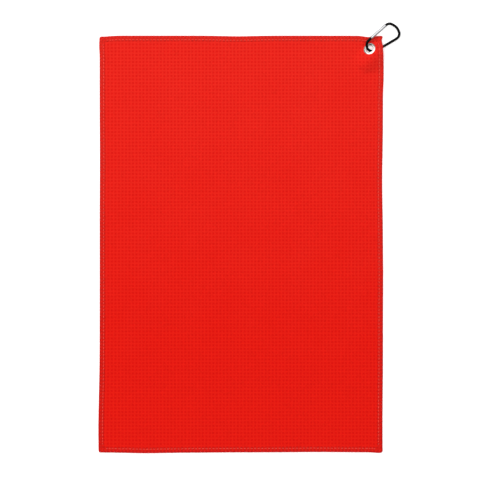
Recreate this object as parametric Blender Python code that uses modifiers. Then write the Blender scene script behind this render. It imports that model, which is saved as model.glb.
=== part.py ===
"""Golf towel: a waffle-weave cloth with a sewn hem, a corner eyelet and a snap carabiner.

The cloth lies flat on z = 0 with its front face up. The origin is at the centre of its
underside, +Y points to the end with the eyelet, and all sizes are in metres.

The carabiner's ring passes through the eyelet. Its spine lies on the ground under the corner of
the cloth and its gate lies over the corner, so the ring leans one way and the eyelet the other.
"""

import math

import bmesh
import bpy
from mathutils import Matrix, Vector

# Cloth and hem
TOWEL_WIDTH = 0.407
TOWEL_LENGTH = 0.599
CLOTH_THICKNESS = 0.0022
HEM_WIDTH = 0.0075
HEM_THICKNESS = 0.0030
HEM_ROUND = 0.0010  # how far in the hem's folded edge is rounded
HEM_STEP = 0.0008  # width of the slope from the hem down to the field of the cloth
STITCH_MARGIN = 0.0017  # from the line of stitches to the hem's inner edge
THREAD_DIAMETER = 0.0008
THREAD_PROUD = 0.0002  # how far a needle thread stands out of the cloth
THREAD_SUNK = 0.0001  # how far a bobbin thread lies inside the cloth's underside
STITCH_GAP = 0.0025  # between the ends of the short rows and the long rows
COARSE_PITCH = 0.045  # grid of the cloth where it lies flat
FINE_PITCH = 0.0035  # grid of the cloth round the eyelet

# Eyelet
EYELET_INSET = 0.0188  # from both edges of the cloth to the eyelet's centre
EYELET_BORE = 0.0104
EYELET_FLANGE = 0.0176
EYELET_WALL = 0.00045
WASHER_DIAMETER = 0.0168
ROLLED_LIP = 0.0012  # how far the rolled end of the barrel reaches over the washer
PRESSED_CLOTH = 0.0010  # thickness of the cloth where the eyelet presses it
EYELET_ROUND = 0.0007
EYELET_SOFT = 0.00018  # bevel of the flange's and the washer's outer edges
SEAT_MARGIN = 0.0010  # flat cloth past the flange, along the gate's line
SEAT_MARGIN_ACROSS = 0.0008
PRESS_BLEND = 0.35  # how far the pressed cloth takes to thicken, as a share of its reach

# Carabiner
ROD_DIAMETER = 0.0038
GATE_DIAMETER = 0.0044
GATE_LENGTH = 0.0289
RING_NARROW_TOP = (-0.0075, -0.0002)
RING_NARROW_TIP = (-0.0142, -0.0082)
RING_NARROW_LOW = (-0.0100, -0.0181)
RING_WIDE_LOW = (GATE_LENGTH + 0.0069, -0.0268)
RING_WIDE_SIDE = (GATE_LENGTH + 0.0102, -0.0125)
RING_WIDE_TOP = (GATE_LENGTH + 0.0061, 0.0)
RING_RADII = (0.0060, 0.0060, 0.0070, 0.0080, 0.0120, 0.0070)
RING_HEADING = math.radians(41.0)  # of the gate on the ground, from +X
RING_LEAN = math.radians(14.0)
HANG_DEPTH = 0.0107  # from the gate's line to where the ring passes the eyelet
HANG_SLACK = 0.0011  # between the ring and the near side of the bore
TONGUE_THICKNESS = 0.0015
TONGUE_HEIGHT = 0.0034
PIVOT_INSET = 0.0022  # from the gate's hinge end to its pin
PIVOT_DIAMETER = 0.0014
TONGUE_REACH = 0.0017  # how far the tongue reaches past the pivot
LATCH_INSET = 0.0029  # from the gate's nose end to the latch pin
LATCH_DIAMETER = 0.0012
LATCH_HOOK = 0.0010  # thickness of the nose's hook in front of the latch pin
NOSE_ROUND = 0.0008  # rounding of the gate's nose end
SPRING_WIRE = 0.00036
SPRING_DIAMETER = 0.0019
SPRING_TURNS = 7
SPRING_LENGTH = 0.0090
PLUNGER_DIAMETER = 0.0020
PLUNGER_LENGTH = 0.0030

GAP = 0.0003  # between pieces that touch
SLACK = 0.0001  # added where a moving piece turns past another
CUT = 0.001  # how far a cutter runs past the face that it cuts

ROUND_SIDES = 32
PIN_SIDES = 20
ARC_STEPS = 8

HALF_WIDTH = TOWEL_WIDTH / 2
HALF_LENGTH = TOWEL_LENGTH / 2
ROD_RADIUS = ROD_DIAMETER / 2
GATE_RADIUS = GATE_DIAMETER / 2
THREAD_RADIUS = THREAD_DIAMETER / 2
STITCH_INSET = HEM_WIDTH - STITCH_MARGIN
GROOVE_HALF = THREAD_RADIUS + GAP
PIVOT_X = PIVOT_INSET
LATCH_X = GATE_LENGTH - LATCH_INSET
BARREL_RADIUS = EYELET_BORE / 2 + EYELET_WALL
FLANGE_TOP = PRESSED_CLOTH / 2 + GAP + EYELET_WALL
WASHER_BOTTOM = -(PRESSED_CLOTH / 2 + GAP + EYELET_WALL)
LIP_BOTTOM = WASHER_BOTTOM - GAP - EYELET_WALL


# ---------------------------------------------------------------- scene

def clear_scene():
    for obj in list(bpy.data.objects):
        bpy.data.objects.remove(obj, do_unlink=True)


def new_collection(name):
    collection = bpy.data.collections.new(name)
    bpy.context.scene.collection.children.link(collection)
    return collection


clear_scene()
PARTS = new_collection("golf_towel")
CUTTERS = new_collection("cutters")


def finish(name, colour, roughness, metallic=0.0):
    """A plain Principled material."""
    material = bpy.data.materials.new(name)
    material.use_nodes = True
    shader = material.node_tree.nodes["Principled BSDF"]
    shader.inputs["Base Color"].default_value = (*colour, 1.0)
    shader.inputs["Roughness"].default_value = roughness
    shader.inputs["Metallic"].default_value = metallic
    return material


RED_CLOTH = finish("red_cloth", (0.80, 0.015, 0.008), 0.95)
RED_THREAD = finish("red_thread", (0.90, 0.12, 0.09), 0.7)
NICKEL = finish("nickel_plate", (0.72, 0.72, 0.70), 0.22, 1.0)
BLACK_ANODISED = finish("black_anodised", (0.012, 0.012, 0.013), 0.35, 0.6)
SATIN_ALUMINIUM = finish("satin_aluminium", (0.80, 0.80, 0.82), 0.28, 1.0)
SPRING_STEEL = finish("spring_steel", (0.45, 0.45, 0.46), 0.30, 1.0)


def add_object(name, mesh, material=None, parent=None):
    """An object in the parts' collection, or a hidden cutter where it has no material."""
    obj = bpy.data.objects.new(name, mesh)
    if material is None:
        CUTTERS.objects.link(obj)
        obj.hide_render = True
        obj.display_type = "WIRE"
    else:
        PARTS.objects.link(obj)
        mesh.materials.append(material)
    if parent is not None:
        obj.parent = parent
    return obj


def add_frame(name, matrix):
    """An empty that holds a group of pieces in their own frame."""
    empty = bpy.data.objects.new(name, None)
    PARTS.objects.link(empty)
    empty.matrix_world = matrix
    return empty


def smooth(mesh, degrees=35):
    mesh.shade_smooth()
    mesh.set_sharp_from_angle(angle=math.radians(degrees))


def mesh_from(bm, name, shade=True):
    bmesh.ops.recalc_face_normals(bm, faces=bm.faces)
    mesh = bpy.data.meshes.new(name)
    bm.to_mesh(mesh)
    bm.free()
    if shade:
        smooth(mesh)
    return mesh


# ---------------------------------------------------------------- shapes

def cylinder(name, radius, start, end, sides=PIN_SIDES, material=None, parent=None):
    """A cylinder from one point to another."""
    start, end = Vector(start), Vector(end)
    bm = bmesh.new()
    turn = (end - start).to_track_quat("Z", "Y").to_matrix().to_4x4()
    place = Matrix.Translation((start + end) / 2) @ turn
    bmesh.ops.create_cone(
        bm, cap_ends=True, segments=sides, radius1=radius, radius2=radius,
        depth=(end - start).length, matrix=place,
    )
    return add_object(name, mesh_from(bm, name), material, parent)


def block(name, low, high, material=None, parent=None):
    """A box from its lowest corner to its highest."""
    low, high = Vector(low), Vector(high)
    size = high - low
    bm = bmesh.new()
    bmesh.ops.create_cube(
        bm, size=1.0,
        matrix=Matrix.Translation((low + high) / 2) @ Matrix.Diagonal((*size, 1.0)),
    )
    return add_object(name, mesh_from(bm, name, shade=False), material, parent)


def turned(name, profile, material, parent, axis="Z", sides=ROUND_SIDES, closed=True):
    """A turned piece. The profile is (radius, height), down its outer side."""
    bm = bmesh.new()
    if axis == "Z":
        verts = [bm.verts.new((radius, 0.0, height)) for radius, height in profile]
    else:
        verts = [bm.verts.new((height, radius, 0.0)) for radius, height in profile]
    for first, second in zip(verts, verts[1:]):
        bm.edges.new((first, second))
    if closed:
        bm.edges.new((verts[-1], verts[0]))
    mesh = bpy.data.meshes.new(name)
    bm.to_mesh(mesh)
    bm.free()
    obj = add_object(name, mesh, material, parent)
    screw = obj.modifiers.new("turn", "SCREW")
    screw.axis = axis
    screw.angle = math.tau
    screw.steps = sides
    screw.render_steps = sides
    screw.use_merge_vertices = True
    screw.merge_threshold = 0.00001
    screw.use_smooth_shade = True
    return obj


def tube(name, points, radius, material=None, parent=None, resolution=2):
    """A wire along points, made into a mesh with welded caps."""
    curve = bpy.data.curves.new(name, "CURVE")
    curve.dimensions = "3D"
    curve.bevel_depth = radius
    curve.bevel_resolution = resolution
    curve.use_fill_caps = True
    spline = curve.splines.new("POLY")
    spline.points.add(len(points) - 1)
    for point, place in zip(spline.points, points):
        point.co = (*place, 1.0)
    wire = bpy.data.objects.new(name + "_wire", curve)
    CUTTERS.objects.link(wire)
    bpy.context.view_layer.update()
    evaluated = wire.evaluated_get(bpy.context.evaluated_depsgraph_get())
    mesh = bpy.data.meshes.new_from_object(evaluated)
    bpy.data.objects.remove(wire, do_unlink=True)
    bm = bmesh.new()
    bm.from_mesh(mesh)
    bpy.data.meshes.remove(mesh)
    bmesh.ops.remove_doubles(bm, verts=bm.verts, dist=0.00001)
    return add_object(name, mesh_from(bm, name), material, parent)


def boolean(obj, other, operation):
    modifier = obj.modifiers.new(operation.lower(), "BOOLEAN")
    modifier.operation = operation
    modifier.object = other
    modifier.solver = "EXACT"


def cut(obj, other):
    boolean(obj, other, "DIFFERENCE")


def join(obj, other):
    boolean(obj, other, "UNION")


def arc(centre, radius, start_deg, end_deg, steps=ARC_STEPS):
    """Points on an arc, both ends included."""
    turn = [math.radians(start_deg + (end_deg - start_deg) * i / steps) for i in range(steps + 1)]
    return [(centre[0] + radius * math.cos(a), centre[1] + radius * math.sin(a)) for a in turn]


def rounded_path(corners, radii):
    """A flat line through its corners, with each inner corner rounded to its radius."""
    corners = [Vector(corner) for corner in corners]
    points = [corners[0]]
    for before, corner, after, radius in zip(corners, corners[1:], corners[2:], radii):
        back = (before - corner).normalized()
        ahead = (after - corner).normalized()
        half = back.angle(ahead) / 2
        inward = (back + ahead).normalized()
        centre = corner + inward * (radius / math.sin(half))
        start = corner + back * (radius / math.tan(half)) - centre
        end = corner + ahead * (radius / math.tan(half)) - centre
        sweep = start.angle_signed(end)
        for step in range(ARC_STEPS + 1):
            points.append(centre + Matrix.Rotation(-sweep * step / ARC_STEPS, 2) @ start)
    points.append(corners[-1])
    return points


def ease(value):
    """0 below 0, 1 above 1, and smooth between."""
    value = min(max(value, 0.0), 1.0)
    return value * value * (3.0 - 2.0 * value)


# ---------------------------------------------------------------- layout

NOSE_GAP = GAP + SLACK
RING_START = (-NOSE_GAP, 0.0)
RING_END = (GATE_LENGTH + NOSE_GAP, 0.0)
RING_CORNERS = (
    RING_START, RING_NARROW_TOP, RING_NARROW_TIP, RING_NARROW_LOW,
    RING_WIDE_LOW, RING_WIDE_SIDE, RING_WIDE_TOP, RING_END,
)
RING = rounded_path(RING_CORNERS, RING_RADII)


def ring_hang_x():
    """Where the narrow end of the ring crosses the hang depth."""
    for first, second in zip(RING, RING[1:]):
        if first.y >= -HANG_DEPTH > second.y:
            share = (first.y + HANG_DEPTH) / (first.y - second.y)
            return first.x + (second.x - first.x) * share
    raise ValueError("the ring doesn't reach its hang depth")


def spine_y(x):
    """The ring's own y along its straight spine."""
    slope = (RING_WIDE_LOW[1] - RING_NARROW_LOW[1]) / (RING_WIDE_LOW[0] - RING_NARROW_LOW[0])
    return RING_NARROW_LOW[1] + slope * (x - RING_NARROW_LOW[0])


HANG_POINT = Vector(
    (ring_hang_x() + EYELET_BORE / 2 - ROD_RADIUS - HANG_SLACK, -HANG_DEPTH, 0.0)
)
GATE_HEIGHT = ROD_RADIUS - min(point.y for point in RING) * math.sin(RING_LEAN)
EYELET_HEIGHT = GATE_HEIGHT - HANG_DEPTH * math.sin(RING_LEAN)
EYELET_CENTRE = Vector((HALF_WIDTH - EYELET_INSET, HALF_LENGTH - EYELET_INSET, EYELET_HEIGHT))

RING_TURN = Matrix.Rotation(RING_HEADING, 4, "Z") @ Matrix.Rotation(RING_LEAN, 4, "X")
RING_ORIGIN = EYELET_CENTRE - RING_TURN @ HANG_POINT
RING_FRAME = Matrix.Translation(RING_ORIGIN) @ RING_TURN

FLANGE_RADIUS = EYELET_FLANGE / 2


def lean_onto_ground(radius, depth):
    """The lean that brings a ring, this far below the eyelet's middle, down to the ground."""
    reach = math.hypot(radius, depth)
    return math.asin((EYELET_HEIGHT - SLACK) / reach) - math.atan2(depth, radius)


EYELET_LEAN = min(
    lean_onto_ground(WASHER_DIAMETER / 2, -WASHER_BOTTOM),
    lean_onto_ground(BARREL_RADIUS + ROLLED_LIP, -LIP_BOTTOM),
)
EYELET_TURN = Matrix.Rotation(RING_HEADING, 4, "Z") @ Matrix.Rotation(-EYELET_LEAN, 4, "X")
EYELET_FRAME = Matrix.Translation(EYELET_CENTRE) @ EYELET_TURN

# The lifted corner of the cloth
ALONG = Vector((math.cos(RING_HEADING), math.sin(RING_HEADING)))
ACROSS = Vector((math.sin(RING_HEADING), -math.cos(RING_HEADING)))
SEAT_ALONG = FLANGE_RADIUS + SEAT_MARGIN
SEAT_ACROSS = FLANGE_RADIUS * math.cos(EYELET_LEAN) + SEAT_MARGIN_ACROSS
LIFT_SLOPE = math.tan(EYELET_LEAN)
LIFT_FALL = 0.0320  # how far the lifted cloth takes to come down to the ground
RIDGE_BLEND = 0.0070  # how fast the eyelet's slope turns into the ridge over the spine
RIDGE_FOOT = -0.0025  # where the ridge over the spine starts, across from the eyelet
RIDGE_INSET = 0.0080  # from the cloth's edge back to where the ridge is fitted to the spine
EDGE_X = HALF_WIDTH - EYELET_CENTRE.x
RIDGE_ALONG = EDGE_X / math.cos(RING_HEADING) - RIDGE_INSET
RIDGE_TOP_X = HANG_POINT.x + RIDGE_ALONG
RIDGE_ACROSS = -(spine_y(RIDGE_TOP_X) + HANG_DEPTH) * math.cos(RING_LEAN)
SPINE_HEIGHT = GATE_HEIGHT + spine_y(RIDGE_TOP_X) * math.sin(RING_LEAN)
RIDGE_HEIGHT = SPINE_HEIGHT + ROD_RADIUS / math.cos(RING_LEAN) + 2 * GAP


def seat_height(across):
    """Height of the pressed cloth's mid-surface in the eyelet's own plane."""
    return EYELET_HEIGHT + across * LIFT_SLOPE


def tent_height(across):
    """Height of the cloth's mid-surface on a line through the eyelet, across the gate's line."""
    ground = CLOTH_THICKNESS / 2
    if across <= SEAT_ACROSS:
        return seat_height(across)
    share = min((across - SEAT_ACROSS) / LIFT_FALL, 1.0)
    top = seat_height(SEAT_ACROSS)
    hold = 2 * share**3 - 3 * share**2 + 1
    carry = (share**3 - 2 * share**2 + share) * LIFT_FALL * LIFT_SLOPE
    return ground + (top - ground) * hold + carry


def ridge_height(across):
    """Height of the cloth's mid-surface where it lies over the carabiner's spine."""
    ground = CLOTH_THICKNESS / 2
    rise = ease((across - RIDGE_FOOT) / (RIDGE_ACROSS - RIDGE_FOOT))
    fall = 1.0 - ease((across - RIDGE_ACROSS - ROD_RADIUS) / LIFT_FALL)
    return ground + RIDGE_HEIGHT * rise * fall


def corner_place(x, y):
    """A point's place along and across the gate's line, from the eyelet's centre."""
    offset = Vector((x - EYELET_CENTRE.x, y - EYELET_CENTRE.y))
    return offset.dot(ALONG), offset.dot(ACROSS)


def cloth_height(x, y):
    """Height of the cloth's mid-surface, which the ground then holds up where it is lower."""
    along, across = corner_place(x, y)
    ground = CLOTH_THICKNESS / 2
    tent = tent_height(across)
    if along > SEAT_ALONG:
        share = ease((along - SEAT_ALONG) / RIDGE_BLEND)
        return tent + (ridge_height(across) - tent) * share
    share = 1.0 - ease((-along - SEAT_ALONG) / LIFT_FALL)
    return ground + (tent - ground) * share


def insets(x, y):
    """Distances from the nearest side edge and the nearest end edge."""
    return HALF_WIDTH - abs(x), HALF_LENGTH - abs(y)


def on_groove(x, y):
    """Whether a point lies on the floor of a groove that holds a row of stitches."""
    reach = GROOVE_HALF + SLACK / 2
    return any(abs(inset - STITCH_INSET) < reach for inset in insets(x, y))


def pressed_share(x, y):
    """1 under the eyelet's flange, falling to 0 a little outside it."""
    along, across = corner_place(x, y)
    reach = math.hypot(along / SEAT_ALONG, across / SEAT_ACROSS)
    return 1.0 - ease((reach - 1.0) / PRESS_BLEND)


def cloth_faces(x, y):
    """Heights of the cloth's underside and top, before the grooves for its stitches."""
    loose = CLOTH_THICKNESS / 2
    pressed = PRESSED_CLOTH / 2 / math.cos(EYELET_LEAN)
    half = loose + (pressed - loose) * pressed_share(x, y)
    middle = max(cloth_height(x, y), half)
    low = middle - half
    high = middle + half
    inset = min(insets(x, y))
    if inset < HEM_ROUND / 2:
        return low, low + HEM_THICKNESS - HEM_ROUND
    if inset < HEM_WIDTH + HEM_STEP / 2:
        return low, low + HEM_THICKNESS
    return low, high


# ---------------------------------------------------------------- cloth

def hem_insets():
    """The hem's grid lines, from the edge inward: its rounding, its groove and its slope."""
    groove = (-GROOVE_HALF - SLACK, -GROOVE_HALF, GROOVE_HALF, GROOVE_HALF + SLACK)
    return [
        0.0, HEM_ROUND, *[STITCH_INSET + place for place in groove], HEM_WIDTH,
        HEM_WIDTH + HEM_STEP,
    ]


def grid_lines(half, corner_start):
    """Places of the cloth's grid lines: hem, wide flat field, fine corner, hem."""
    left = [-half + inset for inset in hem_insets()]
    right = [half - inset for inset in reversed(hem_insets())]
    wide_steps = math.ceil((corner_start - left[-1]) / COARSE_PITCH)
    wide = [left[-1] + (corner_start - left[-1]) * i / wide_steps for i in range(1, wide_steps + 1)]
    fine_steps = math.ceil((right[0] - corner_start) / FINE_PITCH)
    fine = [corner_start + (right[0] - corner_start) * i / fine_steps for i in range(1, fine_steps)]
    return left + wide + fine + right


def cloth_grid():
    """The cloth's grid lines across its width and along its length."""
    reach = SEAT_ACROSS + LIFT_FALL
    columns = grid_lines(HALF_WIDTH, EYELET_CENTRE.x - reach)
    return columns, grid_lines(HALF_LENGTH, EYELET_CENTRE.y - reach)


def cloth_mesh():
    """A grid, thickened upward, whose two faces follow the cloth's heights."""
    columns, rows = cloth_grid()
    bm = bmesh.new()
    bmesh.ops.create_grid(bm, x_segments=len(columns) - 1, y_segments=len(rows) - 1, size=1.0)
    for vert in bm.verts:
        column = round((vert.co.x + 1.0) / 2.0 * (len(columns) - 1))
        row = round((vert.co.y + 1.0) / 2.0 * (len(rows) - 1))
        vert.co = (columns[column], rows[row], 0.0)
    lifted = bmesh.ops.extrude_face_region(bm, geom=bm.faces[:])
    top = {item for item in lifted["geom"] if isinstance(item, bmesh.types.BMVert)}
    for vert in bm.verts:
        low, high = cloth_faces(vert.co.x, vert.co.y)
        if on_groove(vert.co.x, vert.co.y) and min(insets(vert.co.x, vert.co.y)) > 0:
            low += THREAD_SUNK + THREAD_DIAMETER + GAP
            high -= THREAD_DIAMETER - THREAD_PROUD + GAP
        vert.co.z = high if vert in top else low
    return mesh_from(bm, "towel_cloth")


def thread_point(x, y, front):
    """A point of a stitch row, sunk into the front or the back of the cloth."""
    low, high = cloth_faces(x, y)
    if front:
        return x, y, high - THREAD_RADIUS + THREAD_PROUD
    return x, y, low + THREAD_RADIUS + THREAD_SUNK


def row_stations(lines, reach):
    """Places along a stitch row: its two ends, and the cloth's grid lines between them."""
    clear = reach - THREAD_DIAMETER
    return [-reach, *[line for line in lines if abs(line) < clear], reach]


def stitch_rows():
    """The four rows of the hem: a name, and the row's points in plan."""
    side = HALF_WIDTH - STITCH_INSET
    end = HALF_LENGTH - STITCH_INSET
    columns, rows = cloth_grid()
    across = row_stations(columns, side - STITCH_GAP)
    upward = row_stations(rows, end)
    return {
        "top": [(x, end) for x in across],
        "bottom": [(x, -end) for x in across],
        "left": [(-side, y) for y in upward],
        "right": [(side, y) for y in upward],
    }


def build_cloth():
    cloth = add_object("towel_cloth", cloth_mesh(), RED_CLOTH)
    reach = HEM_THICKNESS + CUT
    hole = cylinder(
        "eyelet_hole_cutter", BARREL_RADIUS + GAP, (0, 0, -reach), (0, 0, reach), ROUND_SIDES,
    )
    hole.matrix_world = EYELET_FRAME
    cut(cloth, hole)
    for side, plan in stitch_rows().items():
        for thread, front in (("needle", True), ("bobbin", False)):
            points = [thread_point(x, y, front) for x, y in plan]
            tube(f"{thread}_thread_{side}", points, THREAD_RADIUS, RED_THREAD, resolution=1)


# ---------------------------------------------------------------- eyelet

def build_eyelet():
    frame = add_frame("eyelet_frame", EYELET_FRAME)
    bore = EYELET_BORE / 2
    lip = BARREL_RADIUS + ROLLED_LIP
    flange_low = FLANGE_TOP - EYELET_WALL
    lip_top = LIP_BOTTOM + EYELET_WALL
    front = [
        (FLANGE_RADIUS - 2 * EYELET_SOFT, FLANGE_TOP - EYELET_SOFT),
        (FLANGE_RADIUS, FLANGE_TOP - 2 * EYELET_SOFT),
        (FLANGE_RADIUS, flange_low),
        (BARREL_RADIUS, flange_low),
        (BARREL_RADIUS, lip_top),
        (lip, lip_top),
        (lip, LIP_BOTTOM + EYELET_SOFT),
        (lip - EYELET_SOFT, LIP_BOTTOM),
    ]
    funnel_low = arc((bore + EYELET_ROUND, LIP_BOTTOM + EYELET_ROUND), EYELET_ROUND, 270, 180, 4)
    funnel_top = arc((bore + EYELET_ROUND, FLANGE_TOP - EYELET_ROUND), EYELET_ROUND, 180, 90, 4)
    turned("grommet_front", front + funnel_low + funnel_top, NICKEL, frame)
    washer_low = WASHER_BOTTOM
    washer_high = washer_low + EYELET_WALL
    inner = BARREL_RADIUS + GAP
    outer = WASHER_DIAMETER / 2
    washer = [
        (outer, washer_high),
        (outer, washer_low + EYELET_SOFT),
        (outer - EYELET_SOFT, washer_low),
        (inner, washer_low),
        (inner, washer_high),
    ]
    turned("grommet_washer", washer, NICKEL, frame)


# ---------------------------------------------------------------- carabiner

TONGUE_END = PIVOT_X + TONGUE_REACH
TONGUE_CORNER = math.hypot(TONGUE_REACH, TONGUE_HEIGHT / 2)
HINGE_SLOT_END = PIVOT_X + TONGUE_CORNER + GAP + SLACK
HOOK_TIP = LATCH_X - LATCH_DIAMETER / 2 - GAP - LATCH_HOOK
NOSE_SLOT_START = HOOK_TIP - 2 * GAP - SLACK
PLUNGER_START = TONGUE_END + GAP
PLUNGER_END = PLUNGER_START + PLUNGER_LENGTH
SPRING_START = PLUNGER_END + GAP + SPRING_WIRE / 2
SPRING_END = SPRING_START + SPRING_LENGTH
BORE_END = SPRING_END + SPRING_WIRE / 2 + GAP
BORE_RADIUS = max(PLUNGER_DIAMETER, SPRING_DIAMETER) / 2 + GAP
SLOT_HALF = TONGUE_THICKNESS / 2 + GAP
SHAFT_INSET = 0.0020  # how far a tongue runs into the rod that carries it


def build_ring(frame):
    """The bent rod, with its hinge tongue at one end and its hooked nose at the other."""
    points = [(point.x, point.y, 0.0) for point in RING]
    ring = tube("carabiner_body", points, ROD_RADIUS, BLACK_ANODISED, frame, resolution=4)
    half = TONGUE_THICKNESS / 2
    reach = TONGUE_HEIGHT / 2
    join(ring, block(
        "hinge_tongue", (RING_START[0] - SHAFT_INSET, -reach, -half), (TONGUE_END, reach, half),
        parent=frame,
    ))
    join(ring, block(
        "nose_tongue", (HOOK_TIP, -reach, -half), (RING_END[0] + SHAFT_INSET, reach, half),
        parent=frame,
    ))
    cut(ring, cylinder(
        "pivot_hole", PIVOT_DIAMETER / 2 + GAP,
        (PIVOT_X, 0, -half - CUT), (PIVOT_X, 0, half + CUT), parent=frame,
    ))
    notch = LATCH_DIAMETER / 2 + GAP
    cut(ring, cylinder(
        "notch_end", notch, (LATCH_X, 0, -half - CUT), (LATCH_X, 0, half + CUT), parent=frame,
    ))
    cut(ring, block(
        "notch_mouth", (LATCH_X - notch, -reach - CUT, -half - CUT),
        (LATCH_X + notch, 0, half + CUT), parent=frame,
    ))


def build_gate(frame):
    """The gate: a turned rod, slotted at both ends and bored for its spring."""
    radius = GATE_RADIUS
    nose = arc((GATE_LENGTH - NOSE_ROUND, radius - NOSE_ROUND), NOSE_ROUND, 0, 90, 6)
    tail = arc((PIVOT_X, 0.0), radius, 90, 180, 6)
    profile = [(0.0, GATE_LENGTH)] + [(y, x) for x, y in nose + tail[:-1]]
    profile.append((0.0, PIVOT_X - radius))
    gate = turned("gate", profile, SATIN_ALUMINIUM, frame, axis="X", closed=False)
    gate.modifiers["turn"].use_normal_calculate = True
    side = radius + CUT
    cut(gate, block(
        "hinge_slot", (-CUT, -side, -SLOT_HALF), (HINGE_SLOT_END, side, SLOT_HALF), parent=frame,
    ))
    cut(gate, block(
        "nose_slot", (NOSE_SLOT_START, -side, -SLOT_HALF), (GATE_LENGTH + CUT, side, SLOT_HALF),
        parent=frame,
    ))
    cut(gate, cylinder(
        "spring_bore", BORE_RADIUS, (PLUNGER_START - GAP, 0, 0), (BORE_END, 0, 0), parent=frame,
    ))
    for name, place, diameter in (
        ("gate_pivot_hole", PIVOT_X, PIVOT_DIAMETER), ("gate_latch_hole", LATCH_X, LATCH_DIAMETER),
    ):
        cut(gate, cylinder(
            name, diameter / 2 + GAP, (place, 0, -side), (place, 0, side), parent=frame,
        ))


def build_gate_parts(frame):
    pin = GATE_RADIUS - SLACK * 2
    for name, place, diameter in (
        ("gate_pivot_pin", PIVOT_X, PIVOT_DIAMETER), ("gate_latch_pin", LATCH_X, LATCH_DIAMETER),
    ):
        cylinder(
            name, diameter / 2, (place, 0, -pin), (place, 0, pin), material=SPRING_STEEL,
            parent=frame,
        )
    cylinder(
        "spring_plunger", PLUNGER_DIAMETER / 2, (PLUNGER_START, 0, 0), (PLUNGER_END, 0, 0),
        material=SPRING_STEEL, parent=frame,
    )
    coil = (SPRING_DIAMETER - SPRING_WIRE) / 2
    steps = SPRING_TURNS * 10
    points = []
    for step in range(steps + 1):
        angle = math.tau * SPRING_TURNS * step / steps
        x = SPRING_START + SPRING_LENGTH * step / steps
        points.append((x, coil * math.cos(angle), coil * math.sin(angle)))
    tube("gate_spring", points, SPRING_WIRE / 2, SPRING_STEEL, frame, resolution=1)


def build_carabiner():
    frame = add_frame("carabiner_frame", RING_FRAME)
    build_ring(frame)
    build_gate(frame)
    build_gate_parts(frame)


def main():
    build_cloth()
    build_eyelet()
    build_carabiner()
    bpy.context.view_layer.update()


main()
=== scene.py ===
"""Looks of a golf towel: waffle-weave cloth, sewn hem, corner eyelet and snap carabiner.

Lengths are in metres. The cloth lies on z = 0 with its front face up, +Y is the end with the
eyelet, and every piece is built in place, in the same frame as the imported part.
"""

import logging
import math
from dataclasses import dataclass, field
from enum import Enum

import bpy
import numpy as np
from mathutils import Matrix, Vector


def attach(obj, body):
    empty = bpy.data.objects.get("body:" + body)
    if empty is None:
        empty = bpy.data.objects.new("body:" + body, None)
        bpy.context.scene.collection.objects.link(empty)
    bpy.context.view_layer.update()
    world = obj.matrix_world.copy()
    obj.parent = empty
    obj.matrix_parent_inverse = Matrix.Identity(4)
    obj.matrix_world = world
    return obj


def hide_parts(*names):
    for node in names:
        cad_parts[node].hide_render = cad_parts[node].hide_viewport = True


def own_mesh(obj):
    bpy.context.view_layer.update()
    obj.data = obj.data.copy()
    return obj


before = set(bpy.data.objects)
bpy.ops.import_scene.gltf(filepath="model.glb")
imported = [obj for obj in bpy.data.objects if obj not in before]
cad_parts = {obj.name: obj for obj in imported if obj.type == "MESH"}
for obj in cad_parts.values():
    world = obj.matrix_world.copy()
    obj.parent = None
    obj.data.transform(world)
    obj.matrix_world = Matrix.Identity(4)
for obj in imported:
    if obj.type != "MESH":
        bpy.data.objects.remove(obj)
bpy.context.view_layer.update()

LOG = logging.getLogger("golf_towel")
MM = 0.001
SEED = 11
ON_AXIS = 0.02 * MM  # radius of the small cap at the end of a turned piece
BY_AXIS = 0.01 * MM  # the same for a cutter
PLATE_DEGREES = 30.0  # edges sharper than these are shaded sharp
CUT_DEGREES = 32.0
THREAD_DEGREES = 60.0
CLOTH_DEGREES = 75.0

# Short names for the types in the hints.
Piece = bpy.types.Object
Finish = bpy.types.Material
Socket = bpy.types.NodeSocket
Array = np.ndarray


class Side(Enum):
    """A side of the towel. The value is its word in the names of pieces."""

    BOTTOM = "bottom"
    RIGHT = "right"
    TOP = "top"
    LEFT = "left"


class Face(Enum):
    """A face of the cloth. The value is the direction out of it along the cloth's normal."""

    FRONT = 1.0
    BACK = -1.0


# ---------------------------------------------------------------------------- small helpers


def ease(value: Array | float) -> Array:
    """Ease between 0 and 1.

    Args:
        value: Any number or array.

    Returns:
        0 below 0, 1 above 1, and a smooth rise between.
    """
    share = np.clip(value, 0.0, 1.0)
    return share * share * (3.0 - 2.0 * share)


def bump(value: Array | float, middle: float, reach: float) -> Array:
    """A smooth hill of height 1.

    Args:
        value: Where it is read.
        middle: Where it is highest.
        reach: How far it is to where it has fallen to a third.

    Returns:
        The hill's height, from 0 to 1.
    """
    return np.exp(-(((value - middle) / reach) ** 2))


def around(count: int) -> Array:
    """Even angles round a whole turn."""
    return np.linspace(0.0, math.tau, count, endpoint=False)


def unit(vectors: Array) -> Array:
    """The vectors, each brought to a length of 1."""
    return vectors / np.linalg.norm(vectors, axis=-1)[..., None]


def placed(points: Array, place: Matrix) -> Array:
    """The points, moved into a frame."""
    return points @ np.array(place.to_3x3()).T + np.array(place.translation)


def linked(name: str, data: bpy.types.ID) -> Piece:
    """Make an object that holds the data, in the scene's own collection.

    Args:
        name: The object's name.
        data: Its mesh, lamp or camera.

    Returns:
        The new object.
    """
    obj = bpy.data.objects.new(name, data)
    bpy.context.scene.collection.objects.link(obj)
    return obj


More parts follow.
